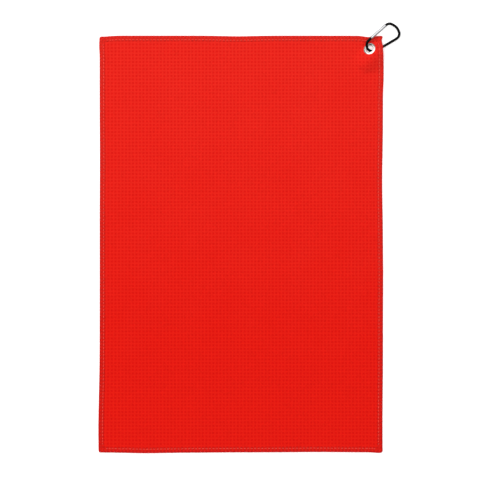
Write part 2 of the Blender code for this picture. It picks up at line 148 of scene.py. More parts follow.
def mesh_object(
    name: str, points: Array, faces: list, material: Finish, degrees: float = 40.0
) -> Piece:
    """Make a shown object from points and faces.

    Args:
        name: The piece's name.
        points: One row of x, y and z per vertex.
        faces: Vertex numbers of each face, counter-clockwise from outside.
        material: The finish that it wears.
        degrees: Edges sharper than this are shaded sharp.

    Returns:
        The new object, in the scene's own collection.
    """
    mesh = bpy.data.meshes.new(name)
    mesh.from_pydata([tuple(point) for point in points], [], faces)
    mesh.update()
    mesh.shade_smooth()
    mesh.set_sharp_from_angle(angle=math.radians(degrees))
    mesh.materials.append(material)
    return linked(name, mesh)


def rings_to_faces(rings: int, sides: int, start: int = 0, closed: bool = False) -> list:
    """Faces between rings of vertices that follow each other.

    Args:
        rings: How many rings there are.
        sides: How many vertices each ring has.
        start: The first ring's first vertex number.
        closed: Whether the last ring joins the first. Otherwise both ends get a cap.

    Returns:
        A list of vertex numbers per face.
    """
    faces = []
    for ring in range(rings if closed else rings - 1):
        near = start + ring * sides
        far = start + (ring + 1) % rings * sides
        for side in range(sides):
            after = (side + 1) % sides
            faces.append((near + side, near + after, far + after, far + side))
    if not closed:
        faces.append(tuple(start + side for side in reversed(range(sides))))
        faces.append(tuple(start + (rings - 1) * sides + side for side in range(sides)))
    return faces


def swept(
    name: str, path: Array, radii: Array, up: Vector, material: Finish, sides: int = 24
) -> Piece:
    """A round rod along a path that stays in one plane.

    Args:
        name: The piece's name.
        path: Points of the rod's middle line.
        radii: The rod's radius at each point.
        up: The plane's normal.
        material: The finish that it wears.
        sides: How many sides the rod has.

    Returns:
        The new object.
    """
    up = np.array(up)
    out = np.cross(up, unit(np.gradient(path, axis=0)))
    turn = around(sides)
    spread = np.cos(turn)[None, :, None] * out[:, None, :] + np.sin(turn)[None, :, None] * up
    points = path[:, None, :] + spread * radii[:, None, None]
    return mesh_object(name, points.reshape(-1, 3), rings_to_faces(len(path), sides), material)


def turned(
    name: str, profile: list, place: Matrix, material: Finish, sides: int = 96, closed: bool = True
) -> Piece:
    """A turned piece about its own Z axis.

    Args:
        name: The piece's name.
        profile: Radius and height of each point, counter-clockwise with the axis on the left.
        place: Where the piece's axis is.
        material: The finish that it wears.
        sides: How many sides it has.
        closed: Whether the profile closes on itself, as on a ring. Otherwise it starts and ends
            on the axis, and each end gets a small flat cap.

    Returns:
        The new object.
    """
    shape = np.array(profile, float)
    turn = around(sides)
    points = np.empty((len(shape), sides, 3))
    points[..., 0] = shape[:, :1] * np.cos(turn)
    points[..., 1] = shape[:, :1] * np.sin(turn)
    points[..., 2] = shape[:, 1:]
    faces = rings_to_faces(len(shape), sides, closed=closed)
    return mesh_object(name, placed(points.reshape(-1, 3), place), faces, material)


def arc(centre: tuple, radius: float, start: float, end: float, steps: int = 6) -> list:
    """Points on an arc in a profile.

    Args:
        centre: The arc's centre.
        radius: Its radius.
        start: Its first angle, in degrees.
        end: Its last angle, in degrees.
        steps: How many stretches it has.

    Returns:
        The points, both ends included.
    """
    angles = np.radians(np.linspace(start, end, steps + 1))
    return [(centre[0] + radius * math.cos(a), centre[1] + radius * math.sin(a)) for a in angles]


def plate(name: str, outline: list, thickness: float, place: Matrix, material: Finish) -> Piece:
    """A flat plate, cut to an outline in its own XY plane.

    Args:
        name: The piece's name.
        outline: Its corners, counter-clockwise from above.
        thickness: Its thickness, half of it on each side of the plane.
        place: Where the plane is.
        material: The finish that it wears.

    Returns:
        The new object.
    """
    half = thickness / 2
    local = [(x, y, -half) for x, y in outline] + [(x, y, half) for x, y in outline]
    points = np.array([place @ Vector(point) for point in local])
    return mesh_object(name, points, rings_to_faces(2, len(outline)), material, PLATE_DEGREES)


def combine(base: Piece, others: list, operation: str) -> Piece:
    """Join pieces to a base or cut them out of it, and keep only the result.

    Args:
        base: The object that is changed.
        others: The objects that are joined or cut out, which are then removed.
        operation: Blender's name for it: UNION or DIFFERENCE.

    Returns:
        The base.
    """
    for other in others:
        modifier = base.modifiers.new(operation.lower(), "BOOLEAN")
        modifier.operation = operation
        modifier.solver = "EXACT"
        modifier.object = other
    bake_modifiers(base)
    for other in others:
        bpy.data.objects.remove(other, do_unlink=True)
    base.data.shade_smooth()
    base.data.set_sharp_from_angle(angle=math.radians(CUT_DEGREES))
    return base


def bake_modifiers(obj: Piece) -> None:
    """Replace an object's mesh by what its modifiers make of it.

    Args:
        obj: The object that is changed.
    """
    bpy.context.view_layer.update()
    made = obj.evaluated_get(bpy.context.evaluated_depsgraph_get())
    mesh = bpy.data.meshes.new_from_object(made)
    obj.modifiers.clear()
    obj.data = mesh


# ---------------------------------------------------------------------------- finishes


class Recipe:
    """A material in the making: its nodes and the shader that they feed."""

    def __init__(self, name: str) -> None:
        """Start a material with one Principled shader.

        Args:
            name: The material's name.
        """
        self.material = bpy.data.materials.new(name)
        self.material.use_nodes = True
        self.tree = self.material.node_tree
        self.shader = self.tree.nodes["Principled BSDF"]
        coordinates = self.tree.nodes.new("ShaderNodeTexCoord")
        self.place = coordinates.outputs["Object"]

    def set(self, **values: float | tuple) -> None:
        """Set the shader's own sockets, named with underscores for spaces."""
        for name, value in values.items():
            self.shader.inputs[name.replace("_", " ")].default_value = value

    def math(self, operation: str, first: object, second: object = None) -> Socket:
        """Add a Math node.

        Args:
            operation: Blender's name for the operation.
            first: A socket or a number.
            second: A socket or a number, where the operation takes two.

        Returns:
            The result's socket.
        """
        node = self.tree.nodes.new("ShaderNodeMath")
        node.operation = operation
        for socket, value in zip(node.inputs, (first, second)):
            if isinstance(value, Socket):
                self.tree.links.new(value, socket)
            elif value is not None:
                socket.default_value = value
        return node.outputs[0]

    def times(self, first: object, second: object) -> Socket:
        """The product of two sockets or numbers."""
        return self.math("MULTIPLY", first, second)

    def plus(self, first: object, second: object) -> Socket:
        """The sum of two sockets or numbers."""
        return self.math("ADD", first, second)

    def minus(self, first: object, second: object) -> Socket:
        """The difference of two sockets or numbers."""
        return self.math("SUBTRACT", first, second)

    def stretched(self, scale: tuple) -> Socket:
        """The object's coordinates, multiplied by a scale along each axis.

        Args:
            scale: The scale along X, Y and Z.

        Returns:
            The socket of the new coordinates.
        """
        node = self.tree.nodes.new("ShaderNodeMapping")
        node.inputs["Scale"].default_value = scale
        self.tree.links.new(self.place, node.inputs["Vector"])
        return node.outputs["Vector"]

    def noise(self, size: float, detail: float = 2.0, stretch: tuple = (1.0, 1.0, 1.0)) -> Socket:
        """Add a noise.

        Args:
            size: How wide its patches are, in metres.
            detail: How much finer noise it has on top.
            stretch: How much denser it is along each axis.

        Returns:
            The socket of its value, from 0 to 1.
        """
        node = self.tree.nodes.new("ShaderNodeTexNoise")
        node.inputs["Scale"].default_value = 1.0 / size
        node.inputs["Detail"].default_value = detail
        self.tree.links.new(self.stretched(stretch), node.inputs["Vector"])
        return node.outputs["Fac"]

    def ramp(self, value: Socket, low: float, high: float) -> Socket:
        """Spread a value out to the range from low to high.

        Args:
            value: A socket with a value from 0 to 1.
            low: The result at 0.
            high: The result at 1.

        Returns:
            The result's socket.
        """
        node = self.tree.nodes.new("ShaderNodeMapRange")
        node.inputs["To Min"].default_value = low
        node.inputs["To Max"].default_value = high
        self.tree.links.new(value, node.inputs["Value"])
        return node.outputs["Result"]

    def blend(self, share: Socket, first: object, second: object) -> object:
        """Mix two colours.

        Args:
            share: How much of the second, from 0 to 1.
            first: A colour or a colour socket.
            second: A colour or a colour socket.

        Returns:
            The mixed colour's socket.
        """
        node = self.tree.nodes.new("ShaderNodeMix")
        node.data_type = "RGBA"
        self.tree.links.new(share, node.inputs["Factor"])
        for name, value in (("A", first), ("B", second)):
            socket = next(i for i in node.inputs if i.name == name and i.type == "RGBA")
            if isinstance(value, Socket):
                self.tree.links.new(value, socket)
            else:
                socket.default_value = (*value, 1.0)
        return next(o for o in node.outputs if o.type == "RGBA")

    def colour(self, socket: Socket) -> None:
        """Feed the shader's base colour."""
        self.tree.links.new(socket, self.shader.inputs["Base Color"])

    def roughness(self, socket: Socket) -> None:
        """Feed the shader's roughness."""
        self.tree.links.new(socket, self.shader.inputs["Roughness"])

    def relief(self, height: Socket, depth: float, strength: float) -> None:
        """Feed the shader's normal.

        Args:
            height: A height from 0 to 1.
            depth: What a height of 1 stands for, in metres.
            strength: How much of the relief shows.
        """
        node = self.tree.nodes.new("ShaderNodeBump")
        node.inputs["Distance"].default_value = depth
        node.inputs["Strength"].default_value = strength
        self.tree.links.new(height, node.inputs["Height"])
        self.tree.links.new(node.outputs["Normal"], self.shader.inputs["Normal"])

    def axis(self, name: str) -> Socket:
        """One of the object's coordinates, in metres."""
        split = self.tree.nodes.new("ShaderNodeSeparateXYZ")
        self.tree.links.new(self.place, split.inputs[0])
        return split.outputs[name]

    def wave(self, axis: str, pitch: float) -> Socket:
        """A wave across the object.

        Args:
            axis: X, Y or Z.
            pitch: From crest to crest, in metres.

        Returns:
            The socket of its value: 1 on the crests and 0 between them.
        """
        return self.crest(self.times(self.axis(axis), math.tau / pitch))

    def crest(self, turn: Socket) -> Socket:
        """A cosine of an angle, brought to the range from 0 to 1."""
        return self.plus(self.times(self.math("COSINE", turn), 0.5), 0.5)

    def stored(self, name: str) -> Socket:
        """A value that the mesh holds at each vertex."""
        node = self.tree.nodes.new("ShaderNodeAttribute")
        node.attribute_name = name
        return node.outputs["Fac"]

    def stored_vector(self, name: str) -> dict:
        """Three values that the mesh holds at each vertex, named X, Y and Z.

        Args:
            name: The stored value's name.

        Returns:
            A socket for each of the three letters.
        """
        node = self.tree.nodes.new("ShaderNodeAttribute")
        node.attribute_name = name
        split = self.tree.nodes.new("ShaderNodeSeparateXYZ")
        self.tree.links.new(node.outputs["Vector"], split.inputs[0])
        return {axis: split.outputs[axis] for axis in "XYZ"}


@dataclass(frozen=True)
class WaffleWeave:
    """Red microfibre in a waffle weave: the ridges are painted paler, as painted sheen, and the
    deeper cells darker, as painted shade.
    """

    name: str = "red_waffle"
    ridge: tuple = (0.825, 0.0115, 0.0040)
    cell: tuple = (0.725, 0.0024, 0.0010)
    # The pale colour: painted sheen towards the end with the eyelet, and real fade of the dye in
    # random patches.
    fade_and_sheen: tuple = (0.900, 0.0420, 0.0270)
    sheen_rise: float = 1.5
    pale_level: float = 0.22
    yarns_a_cell: float = 8.0
    fuzz: float = 0.35 * MM
    fuzz_shade: float = 0.22
    crispness: float = 1.5
    unpaled_depth: float = 0.7
    patch_size: float = 60 * MM
    patchiness: float = 0.16
    most_pale: float = 0.6
    yarn_height: float = 0.45
    relief_depth: float = 0.40 * MM
    relief_strength: float = 0.48
    roughness: tuple = (0.86, 0.98)
    specular: float = 0.12
    sheen: float = 0.04
    sheen_roughness: float = 0.45

    def material(self) -> Finish:
        """Build the weave's material.

        Returns:
            The material. The mesh tells it where in the weave each vertex is, counted in cells,
            how loose the weave is there, and how much painted shade it gets for a fold or the
            flange ring.
        """
        recipe = Recipe(self.name)
        place = recipe.stored_vector("weave_place")
        upright, level = (self.ridge_wave(recipe, place[name]) for name in "XY")
        raised = recipe.math("MAXIMUM", upright, level)
        depth = recipe.times(recipe.minus(1.0, raised), place["Z"])
        # Painted shade for the hem's folds and the ring round the eyelet's flange, read from the
        # mesh.
        crease_shade = recipe.stored("crease_shade")
        dark = recipe.math("MINIMUM", recipe.plus(depth, crease_shade), 1.0)
        # Painted light and shade: the cells, the hem's folds and the ring round the flange darker,
        # as painted shade, and the ridges paler, as painted sheen.
        woven = recipe.blend(dark, self.ridge, self.cell)
        share = self.fade_and_sheen_share(recipe)
        # The pale colour is held out of the dark hollows, so the painted sheen lies on the ridges.
        kept = recipe.minus(1.0, recipe.times(dark, self.unpaled_depth))
        paled = recipe.blend(recipe.times(share, kept), woven, self.fade_and_sheen)
        fibres = recipe.noise(self.fuzz, 2.0)
        recipe.colour(recipe.blend(recipe.ramp(fibres, 0.0, self.fuzz_shade), paled, self.cell))
        yarns = self.yarn_waves(recipe, place, recipe.math("GREATER_THAN", upright, level))
        rough = recipe.times(yarns, recipe.ramp(fibres, 0.4, 1.0))
        shape = recipe.minus(recipe.times(rough, self.yarn_height), depth)
        recipe.relief(shape, self.relief_depth, self.relief_strength)
        recipe.roughness(recipe.ramp(fibres, *self.roughness))
        recipe.set(
            Specular_IOR_Level=self.specular, Sheen_Weight=self.sheen,
            Sheen_Roughness=self.sheen_roughness,
        )
        return recipe.material

    def ridge_wave(self, recipe: Recipe, cells: Socket) -> Socket:
        """How high the ridges of one direction stand: 1 on a ridge and 0 between two."""
        wave = recipe.crest(recipe.times(cells, math.tau))
        return recipe.math("POWER", wave, self.crispness)

    def yarn_waves(self, recipe: Recipe, place: dict, upright: Socket) -> Socket:
        """The single yarns, which run along whichever ridge they are on.

        Args:
            recipe: The material in the making.
            place: The weave's coordinates.
            upright: 1 where the upright ridge is the higher one.

        Returns:
            The socket of the yarns' height, from 0 to 1.
        """
        turn = math.tau * self.yarns_a_cell
        across = recipe.crest(recipe.times(place["X"], turn))
        along = recipe.crest(recipe.times(place["Y"], turn))
        other = recipe.minus(1.0, upright)
        return recipe.plus(recipe.times(across, upright), recipe.times(along, other))

    def fade_and_sheen_share(self, recipe: Recipe) -> Socket:
        """How far the colour goes pale: painted sheen rising towards the eyelet's end, and dye
        fade in random patches.

        Args:
            recipe: The material in the making.

        Returns:
            The socket of the share, from 0 to 1.
        """
        noise = recipe.noise(self.patch_size, 3.0)
        patches = recipe.ramp(noise, -self.patchiness, self.patchiness)
        # Painted sheen: paler towards the end with the eyelet.
        rise = recipe.times(recipe.axis("Y"), self.sheen_rise)
        share = recipe.plus(recipe.plus(rise, self.pale_level), patches)
        return recipe.times(recipe.ramp(share, 0.0, 1.0), self.most_pale)


@dataclass(frozen=True)
class SewingThread:
    """Twisted polyester thread, a little paler than the cloth."""

    name: str
    # The pale colour on the twist's crests is painted highlight, and the deep colour in its
    # grooves painted shade.
    pale: tuple = (0.97, 0.135, 0.095)
    deep: tuple = (0.78, 0.035, 0.022)
    ply: float = 0.45 * MM
    ply_depth: float = 0.08 * MM
    patch_size: float = 2 * MM
    roughness: tuple = (0.42, 0.62)
    specular: float = 0.25
    sheen: float = 0.05

    def material(self) -> Finish:
        """Build the thread's material.

        Returns:
            The material, with the thread's twist as slanting ridges.
        """
        recipe = Recipe(self.name)
        across = recipe.wave("X", self.ply)
        along = recipe.wave("Y", self.ply)
        twist = recipe.times(recipe.plus(across, along), 0.5)
        # Painted highlight on the twist's crests and painted shade in its grooves.
        recipe.colour(recipe.blend(twist, self.deep, self.pale))
        recipe.relief(twist, self.ply_depth, 0.5)
        recipe.roughness(recipe.ramp(recipe.noise(self.patch_size), *self.roughness))
        recipe.set(Sheen_Weight=self.sheen, Specular_IOR_Level=self.specular)
        return recipe.material


@dataclass(frozen=True)
class Metal:
    """A metal surface with drawn or polished streaks and small patches of wear."""

    name: str
    base: tuple
    worn: tuple
    metallic: float
    smoothest: float
    roughest: float
    streak: tuple = (1.0, 1.0, 1.0)
    grain: float = 0.6 * MM
    wear_size: float = 4 * MM
    relief: float = 0.010 * MM
    gloss: float = 0.5

    def material(self) -> Finish:
        """Build the metal's material.

        Returns:
            The material.
        """
        recipe = Recipe(self.name)
        streaks = recipe.noise(self.grain, 3.0, self.streak)
        patches = recipe.noise(self.wear_size, 2.0)
        wear = recipe.math("POWER", recipe.times(patches, streaks), 2.0)
        recipe.colour(recipe.blend(wear, self.base, self.worn))
        recipe.roughness(recipe.ramp(streaks, self.smoothest, self.roughest))
        recipe.relief(streaks, self.relief, 0.5)
        recipe.set(Metallic=self.metallic, Specular_IOR_Level=self.gloss)
        return recipe.material


@dataclass(frozen=True)
class PaleFloor:
    """A plain matt floor, almost white."""

    name: str = "pale_floor"
    base: tuple = (0.90, 0.90, 0.90)
    shade: tuple = (0.88, 0.88, 0.88)
    glow: float = 0.45
    patch_size: float = 0.4
    roughness: float = 0.9
    specular: float = 0.1

    def material(self) -> Finish:
        """Build the floor's material.

        Returns:
            The material.
        """
        recipe = Recipe(self.name)
        recipe.colour(recipe.blend(recipe.noise(self.patch_size, 2.0), self.base, self.shade))
        recipe.set(
            Roughness=self.roughness, Specular_IOR_Level=self.specular,
            Emission_Color=(1.0, 1.0, 1.0, 1.0), Emission_Strength=self.glow,
        )
        return recipe.material


NICKEL = Metal("nickel_plate", (0.58, 0.55, 0.52), (0.40, 0.37, 0.34), 1.0, 0.18, 0.34)
BLACK = Metal(
    "black_anodising", (0.0015, 0.0015, 0.0018), (0.007, 0.007, 0.008), 0.0, 0.26, 0.42, gloss=0.05
)
ALUMINIUM = Metal(
    "bare_aluminium", (0.42, 0.42, 0.43), (0.30, 0.30, 0.31), 1.0, 0.12, 0.26,
    streak=(0.35, 0.35, 1.0),
)
STEEL = Metal("drawn_steel", (0.50, 0.50, 0.51), (0.32, 0.32, 0.33), 1.0, 0.20, 0.40)


# ---------------------------------------------------------------------------- the laid cloth


@dataclass(frozen=True)
class CornerLift:
    """How the corner with the eyelet stands off the ground, over the carabiner's spine."""

    eyelet: Vector = Vector((0.1847, 0.2807, 0.005482))
    heading: float = math.radians(41.0)
    lean: float = math.radians(30.859)
    seat_along: float = 9.8 * MM
    seat_across: float = 8.354 * MM
    fall: float = 32.0 * MM
    blend: float = 7.0 * MM
    ridge_foot: float = -2.5 * MM
    ridge_across: float = 10.14 * MM
    ridge_height: float = 5.512 * MM
    rod_radius: float = 1.9 * MM
    ground: float = 1.1 * MM
    press_blend: float = 0.30

    def place(self, x: Array, y: Array) -> tuple:
        """Where points are from the eyelet, along and across the line of the gate.

        Args:
            x: Their places across the towel.
            y: Their places along the towel.

        Returns:
            The distances along and across.
        """
        east, north = x - self.eyelet.x, y - self.eyelet.y
        cosine, sine = math.cos(self.heading), math.sin(self.heading)
        return east * cosine + north * sine, east * sine - north * cosine

    def seat(self, across: Array) -> Array:
        """Height of the cloth's middle in the eyelet's own plane."""
        return self.eyelet.z + across * math.tan(self.lean)

    def tent(self, across: Array) -> Array:
        """Height of the cloth's middle straight across the eyelet.

        Args:
            across: Distances across the line of the gate.

        Returns:
            The heights.
        """
        share = np.clip((across - self.seat_across) / self.fall, 0.0, 1.0)
        hold = 2 * share**3 - 3 * share**2 + 1
        carry = (share**3 - 2 * share**2 + share) * self.fall * math.tan(self.lean)
        top = self.seat(self.seat_across)
        beyond = self.ground + (top - self.ground) * hold + carry
        return np.where(across <= self.seat_across, self.seat(across), beyond)

    def ridge(self, across: Array) -> Array:
        """Height of the cloth's middle where it lies over the spine."""
        rise = ease((across - self.ridge_foot) / (self.ridge_across - self.ridge_foot))
        down = ease((across - self.ridge_across - self.rod_radius) / self.fall)
        return self.ground + self.ridge_height * rise * (1.0 - down)

    def height(self, x: Array, y: Array) -> Array:
        """Height of the cloth's middle.

        Args:
            x: Places across the towel.
            y: Places along the towel.

        Returns:
            The heights, nowhere under the cloth's resting height.
        """
        along, across = self.place(x, y)
        tent, ridge = self.tent(across), self.ridge(across)
        beyond = tent + (ridge - tent) * ease((along - self.seat_along) / self.blend)
        before = 1.0 - ease((-along - self.seat_along) / self.fall)
        near = self.ground + (tent - self.ground) * before
        return np.maximum(np.where(along > self.seat_along, beyond, near), self.ground)

    def pressed(self, x: Array, y: Array) -> Array:
        """How far the eyelet presses the cloth: 1 under its flange and 0 well outside it."""
        along, across = self.place(x, y)
        reach = np.hypot(along / self.seat_along, across / self.seat_across)
        return 1.0 - ease((reach - 1.0) / self.press_blend)


@dataclass(frozen=True)
class EdgeWave:
    """A place where an edge of the towel runs a little outside or inside its straight line."""

    side: Side
    middle: float
    reach: float
    out: float


@dataclass
class Drape:
    """The middle surface of the towel as it lies, over its flat width and length."""

    width: float = 0.407
    length: float = 0.599
    spacing: float = 5.0 * MM
    lift: CornerLift = field(default_factory=CornerLift)
    scale: float = 20.0
    frames: int = 28
    slack: float = 0.0016
    unevenness: float = 0.9 * MM
    swells: int = 14
    swell_pitch: tuple = (0.06, 0.22)
    calm_radius: float = 0.02
    calm_fade: float = 0.03
    friction: float = 20.0
    held_share: float = 0.5
    limpness: tuple = (
        ("quality", 6), ("mass", 0.3), ("tension_stiffness", 15), ("compression_stiffness", 15),
        ("shear_stiffness", 8), ("bending_stiffness", 1.5), ("air_damping", 2.0),
        ("vertex_group_mass", "held"), ("pin_stiffness", 1.0),
    )
    most_sideways: float = 1.4 * MM
    most_upward: float = 3.0 * MM
    waves: tuple = (
        EdgeWave(Side.LEFT, -0.270, 0.070, 1.9 * MM),
        EdgeWave(Side.LEFT, 0.287, 0.012, 0.7 * MM),
        EdgeWave(Side.LEFT, 0.120, 0.060, -0.3 * MM),
        EdgeWave(Side.RIGHT, 0.264, 0.014, 0.9 * MM),
        EdgeWave(Side.RIGHT, 0.238, 0.016, 0.9 * MM),
        EdgeWave(Side.RIGHT, 0.2930, 0.0050, -1.5 * MM),
        EdgeWave(Side.RIGHT, 0.2995, 0.0030, 0.8 * MM),
        EdgeWave(Side.RIGHT, 0.090, 0.050, -1.1 * MM),
        EdgeWave(Side.RIGHT, -0.050, 0.035, 0.3 * MM),
        EdgeWave(Side.RIGHT, -0.260, 0.060, -0.7 * MM),
        EdgeWave(Side.TOP, -0.200, 0.014, -1.3 * MM),
        EdgeWave(Side.TOP, -0.005, 0.030, -0.8 * MM),
        EdgeWave(Side.TOP, 0.183, 0.009, -1.6 * MM),
        EdgeWave(Side.BOTTOM, -0.110, 0.080, 0.6 * MM),
        EdgeWave(Side.BOTTOM, -0.139, 0.030, 0.7 * MM),
        EdgeWave(Side.BOTTOM, 0.197, 0.008, 0.8 * MM),
        EdgeWave(Side.BOTTOM, 0.110, 0.050, -0.5 * MM),
    )
    wave_depth: float = 0.030
    soft_edge: float = 0.25 * MM

    def __post_init__(self) -> None:
        """Lay the grid out in its starting shape."""
        columns = round(self.width / self.spacing) + 1
        rows = round(self.length / self.spacing) + 1
        across = np.linspace(-self.width / 2, self.width / 2, columns)
        upward = np.linspace(-self.length / 2, self.length / 2, rows)
        self.step = (across[1] - across[0], upward[1] - upward[0])
        flat_x, flat_y = np.meshgrid(across, upward)
        self.points = np.dstack([flat_x, flat_y, self.lift.height(flat_x, flat_y)])

    def settle(self, rod: Array, radius: float) -> None:
        """Let the cloth sink onto the ground and the carabiner's rod by a cloth simulation.

        Args:
            rod: Points of the rod's middle line.
            radius: The rod's radius.
        """
        start = self.points.copy()
        raised = start.copy()
        raised[..., 2] += self.rumple(np.random.default_rng(SEED))
        sheet = self.cloth_object(raised)
        gap = start[0, 0, 2] * self.scale / 2
        ground = self.ground_object()
        bar = self.bar_object(rod, radius)
        for stop in (ground, bar):
            stop.modifiers.new("stop", "COLLISION")
            stop.collision.thickness_outer = gap
            stop.collision.cloth_friction = self.friction
        self.add_cloth(sheet, gap)
        for number in range(1, self.frames + 1):
            bpy.context.scene.frame_set(number)
        made = sheet.evaluated_get(bpy.context.evaluated_depsgraph_get())
        settled = np.empty(start.size, np.float32)
        made.data.vertices.foreach_get("co", settled)
        bpy.context.scene.frame_set(1)
        for obj in (sheet, ground, bar):
            bpy.data.objects.remove(obj, do_unlink=True)
        moved = settled.reshape(start.shape) / self.scale - start
        sideways = np.clip(moved[..., :2], -self.most_sideways, self.most_sideways)
        upward = np.clip(moved[..., 2], -self.most_upward, self.most_upward)
        self.points = start + np.dstack([sideways, upward])
        self.points[..., 2] = np.maximum(self.points[..., 2], self.lift.ground)
        LOG.info(
            "cloth settled: moved up to %.2f mm sideways and %.2f mm up or down",
            1000 * np.abs(moved[..., :2]).max(), 1000 * np.abs(moved[..., 2]).max(),
        )

    def rumple(self, rng: np.random.Generator) -> Array:
        """Low uneven swells for the cloth to start from.

        Args:
            rng: A seeded source of chance.

        Returns:
            A height for each point of the grid, 0 near the eyelet.
        """
        flat_x, flat_y = self.points[..., 0], self.points[..., 1]
        total = np.zeros(flat_x.shape)
        for _ in range(self.swells):
            pitch = rng.uniform(*self.swell_pitch)
            turn = rng.uniform(0.0, math.pi)
            phase = rng.uniform(0.0, math.tau)
            run = flat_x * math.cos(turn) + flat_y * math.sin(turn)
            total += np.sin(run * math.tau / pitch + phase) * pitch
        total = (total - total.min()) / (total.max() - total.min())
        along, across = self.lift.place(flat_x, flat_y)
        away = ease((np.hypot(along, across) - self.calm_radius) / self.calm_fade)
        return total * self.unevenness * away

    def cloth_object(self, points: Array) -> Piece:
        """The grid as a mesh for the simulation, enlarged.

        Args:
            points: The grid's points.

        Returns:
            The object, with the part that the eyelet holds in a vertex group.
        """
        rows, columns = points.shape[:2]
        numbers = np.arange(rows * columns).reshape(rows, columns)
        faces = np.stack(
            [numbers[:-1, :-1], numbers[:-1, 1:], numbers[1:, 1:], numbers[1:, :-1]], -1
        ).reshape(-1, 4)
        mesh = bpy.data.meshes.new("settling_cloth")
        mesh.from_pydata((points.reshape(-1, 3) * self.scale).tolist(), [], faces.tolist())
        obj = linked("settling_cloth", mesh)
        held = obj.vertex_groups.new(name="held")
        share = self.lift.pressed(points[..., 0], points[..., 1]).reshape(-1)
        for number in np.flatnonzero(share > self.held_share):
            held.add([int(number)], 1.0, "REPLACE")
        return obj

    def ground_object(self) -> Piece:
        """The ground as a mesh for the simulation.

        Returns:
            The object, one flat face.
        """
        reach = self.scale
        mesh = bpy.data.meshes.new("settling_ground")
        corners = [(-reach, -reach, 0), (reach, -reach, 0), (reach, reach, 0), (-reach, reach, 0)]
        mesh.from_pydata(corners, [], [(0, 1, 2, 3)])
        return linked("settling_ground", mesh)

    def bar_object(self, rod: Array, radius: float) -> Piece:
        """The carabiner's rod as a mesh for the simulation, enlarged."""
        bare = bpy.data.materials.new("settling_bar")
        radii = np.full(len(rod), radius * self.scale)
        return swept("settling_bar", rod * self.scale, radii, Carabiner().up, bare, 10)

    def add_cloth(self, sheet: Piece, gap: float) -> None:
        """Put a limp cloth on the simulation's mesh.

        Args:
            sheet: The simulation's mesh.
            gap: Half of the distance that its surface keeps from the ground.
        """
        cloth = sheet.modifiers.new("laid", "CLOTH")
        for name, value in self.limpness:
            setattr(cloth.settings, name, value)
        cloth.settings.shrink_min = -self.slack
        cloth.collision_settings.distance_min = gap
        cloth.collision_settings.collision_quality = 3
        cloth.point_cache.frame_end = self.frames

    def locate(self, x: Array, y: Array) -> tuple:
        """Where points of the flat cloth are on the laid one.

        Args:
            x: Flat places across the towel.
            y: Flat places along the towel.

        Returns:
            The points on the cloth's middle surface, and its normals there.
        """
        wide = self.padded_points()
        column, column_parts = self.cubic((x + self.width / 2) / self.step[0], wide.shape[1])
        row, row_parts = self.cubic((y + self.length / 2) / self.step[1], wide.shape[0])
        place = np.zeros((*x.shape, 3))
        east = np.zeros_like(place)
        north = np.zeros_like(place)
        for i in range(4):
            for j in range(4):
                near = wide[row + j, column + i]
                place += near * (column_parts[0][i] * row_parts[0][j])[..., None]
                east += near * (column_parts[1][i] * row_parts[0][j])[..., None]
                north += near * (column_parts[0][i] * row_parts[1][j])[..., None]
        place[..., :2] += self.wandered(x, y)
        return self.seated(x, y, place, unit(np.cross(east, north)))

    def padded_points(self) -> Array:
        """The grid with one more straight step on every side.

        Returns:
            The points, two rows and two columns more than the grid has.
        """
        grid = self.points
        grid = np.concatenate([2 * grid[:1] - grid[1:2], grid, 2 * grid[-1:] - grid[-2:-1]])
        first, last = 2 * grid[:, :1] - grid[:, 1:2], 2 * grid[:, -1:] - grid[:, -2:-1]
        return np.concatenate([first, grid, last], axis=1)

    @staticmethod
    def cubic(place: Array, count: int) -> tuple:
        """Weights of a smooth curve through four neighbouring grid lines.

        Args:
            place: Places in grid steps.
            count: How many lines the padded grid has.

        Returns:
            The first line's number, and the weights for a value and for its slope.
        """
        line = np.clip(np.floor(place).astype(int), 0, count - 4)
        t = place - line
        value = (
            -0.5 * t**3 + t**2 - 0.5 * t,
            1.5 * t**3 - 2.5 * t**2 + 1.0,
            -1.5 * t**3 + 2.0 * t**2 + 0.5 * t,
            0.5 * t**3 - 0.5 * t**2,
        )
        slope = (
            -1.5 * t**2 + 2.0 * t - 0.5,
            4.5 * t**2 - 5.0 * t,
            -4.5 * t**2 + 4.0 * t + 0.5,
            1.5 * t**2 - t,
        )
        return line, (value, slope)

    def wandered(self, x: Array, y: Array) -> Array:
        """How far points near the edges are off, because the hem isn't sewn quite straight.

        Args:
            x: Flat places across the towel.
            y: Flat places along the towel.

        Returns:
            A step across and along for each point.
        """
        step = np.stack(
            [
                np.sign(place) * self.soft_edge
                * (1.0 - ease((half - np.abs(place)) / self.wave_depth))
                for place, half in ((x, self.width / 2), (y, self.length / 2))
            ],
            axis=-1,
        )
        for wave in self.waves:
            upright = wave.side in (Side.LEFT, Side.RIGHT)
            sign = 1.0 if wave.side in (Side.RIGHT, Side.TOP) else -1.0
            run, cross = (y, x) if upright else (x, y)
            half = self.width / 2 if upright else self.length / 2
            depth = 1.0 - ease((half - sign * cross) / self.wave_depth)
            step[..., 0 if upright else 1] += (
                sign * wave.out * depth * bump(run, wave.middle, wave.reach)
            )
        return step

    def seated(self, x: Array, y: Array, place: Array, normal: Array) -> tuple:
        """Hold the cloth flat where the eyelet clamps it.

        Args:
            x: Flat places across the towel.
            y: Flat places along the towel.
            place: The points so far.
            normal: The normals so far.

        Returns:
            The points and normals, moved into the eyelet's plane under its flange.
        """
        share = self.lift.pressed(x, y)[..., None]
        across = self.lift.place(x, y)[1]
        flat = np.stack([x, y, self.lift.seat(across)], axis=-1)
        heading, lean = self.lift.heading, self.lift.lean
        up = np.array([
            -math.sin(lean) * math.sin(heading),
            math.sin(lean) * math.cos(heading),
            math.cos(lean),
        ])
        place = place * (1.0 - share) + flat * share
        normal = normal * (1.0 - share) + up * share
        return place, unit(normal)


# ---------------------------------------------------------------------------- towel


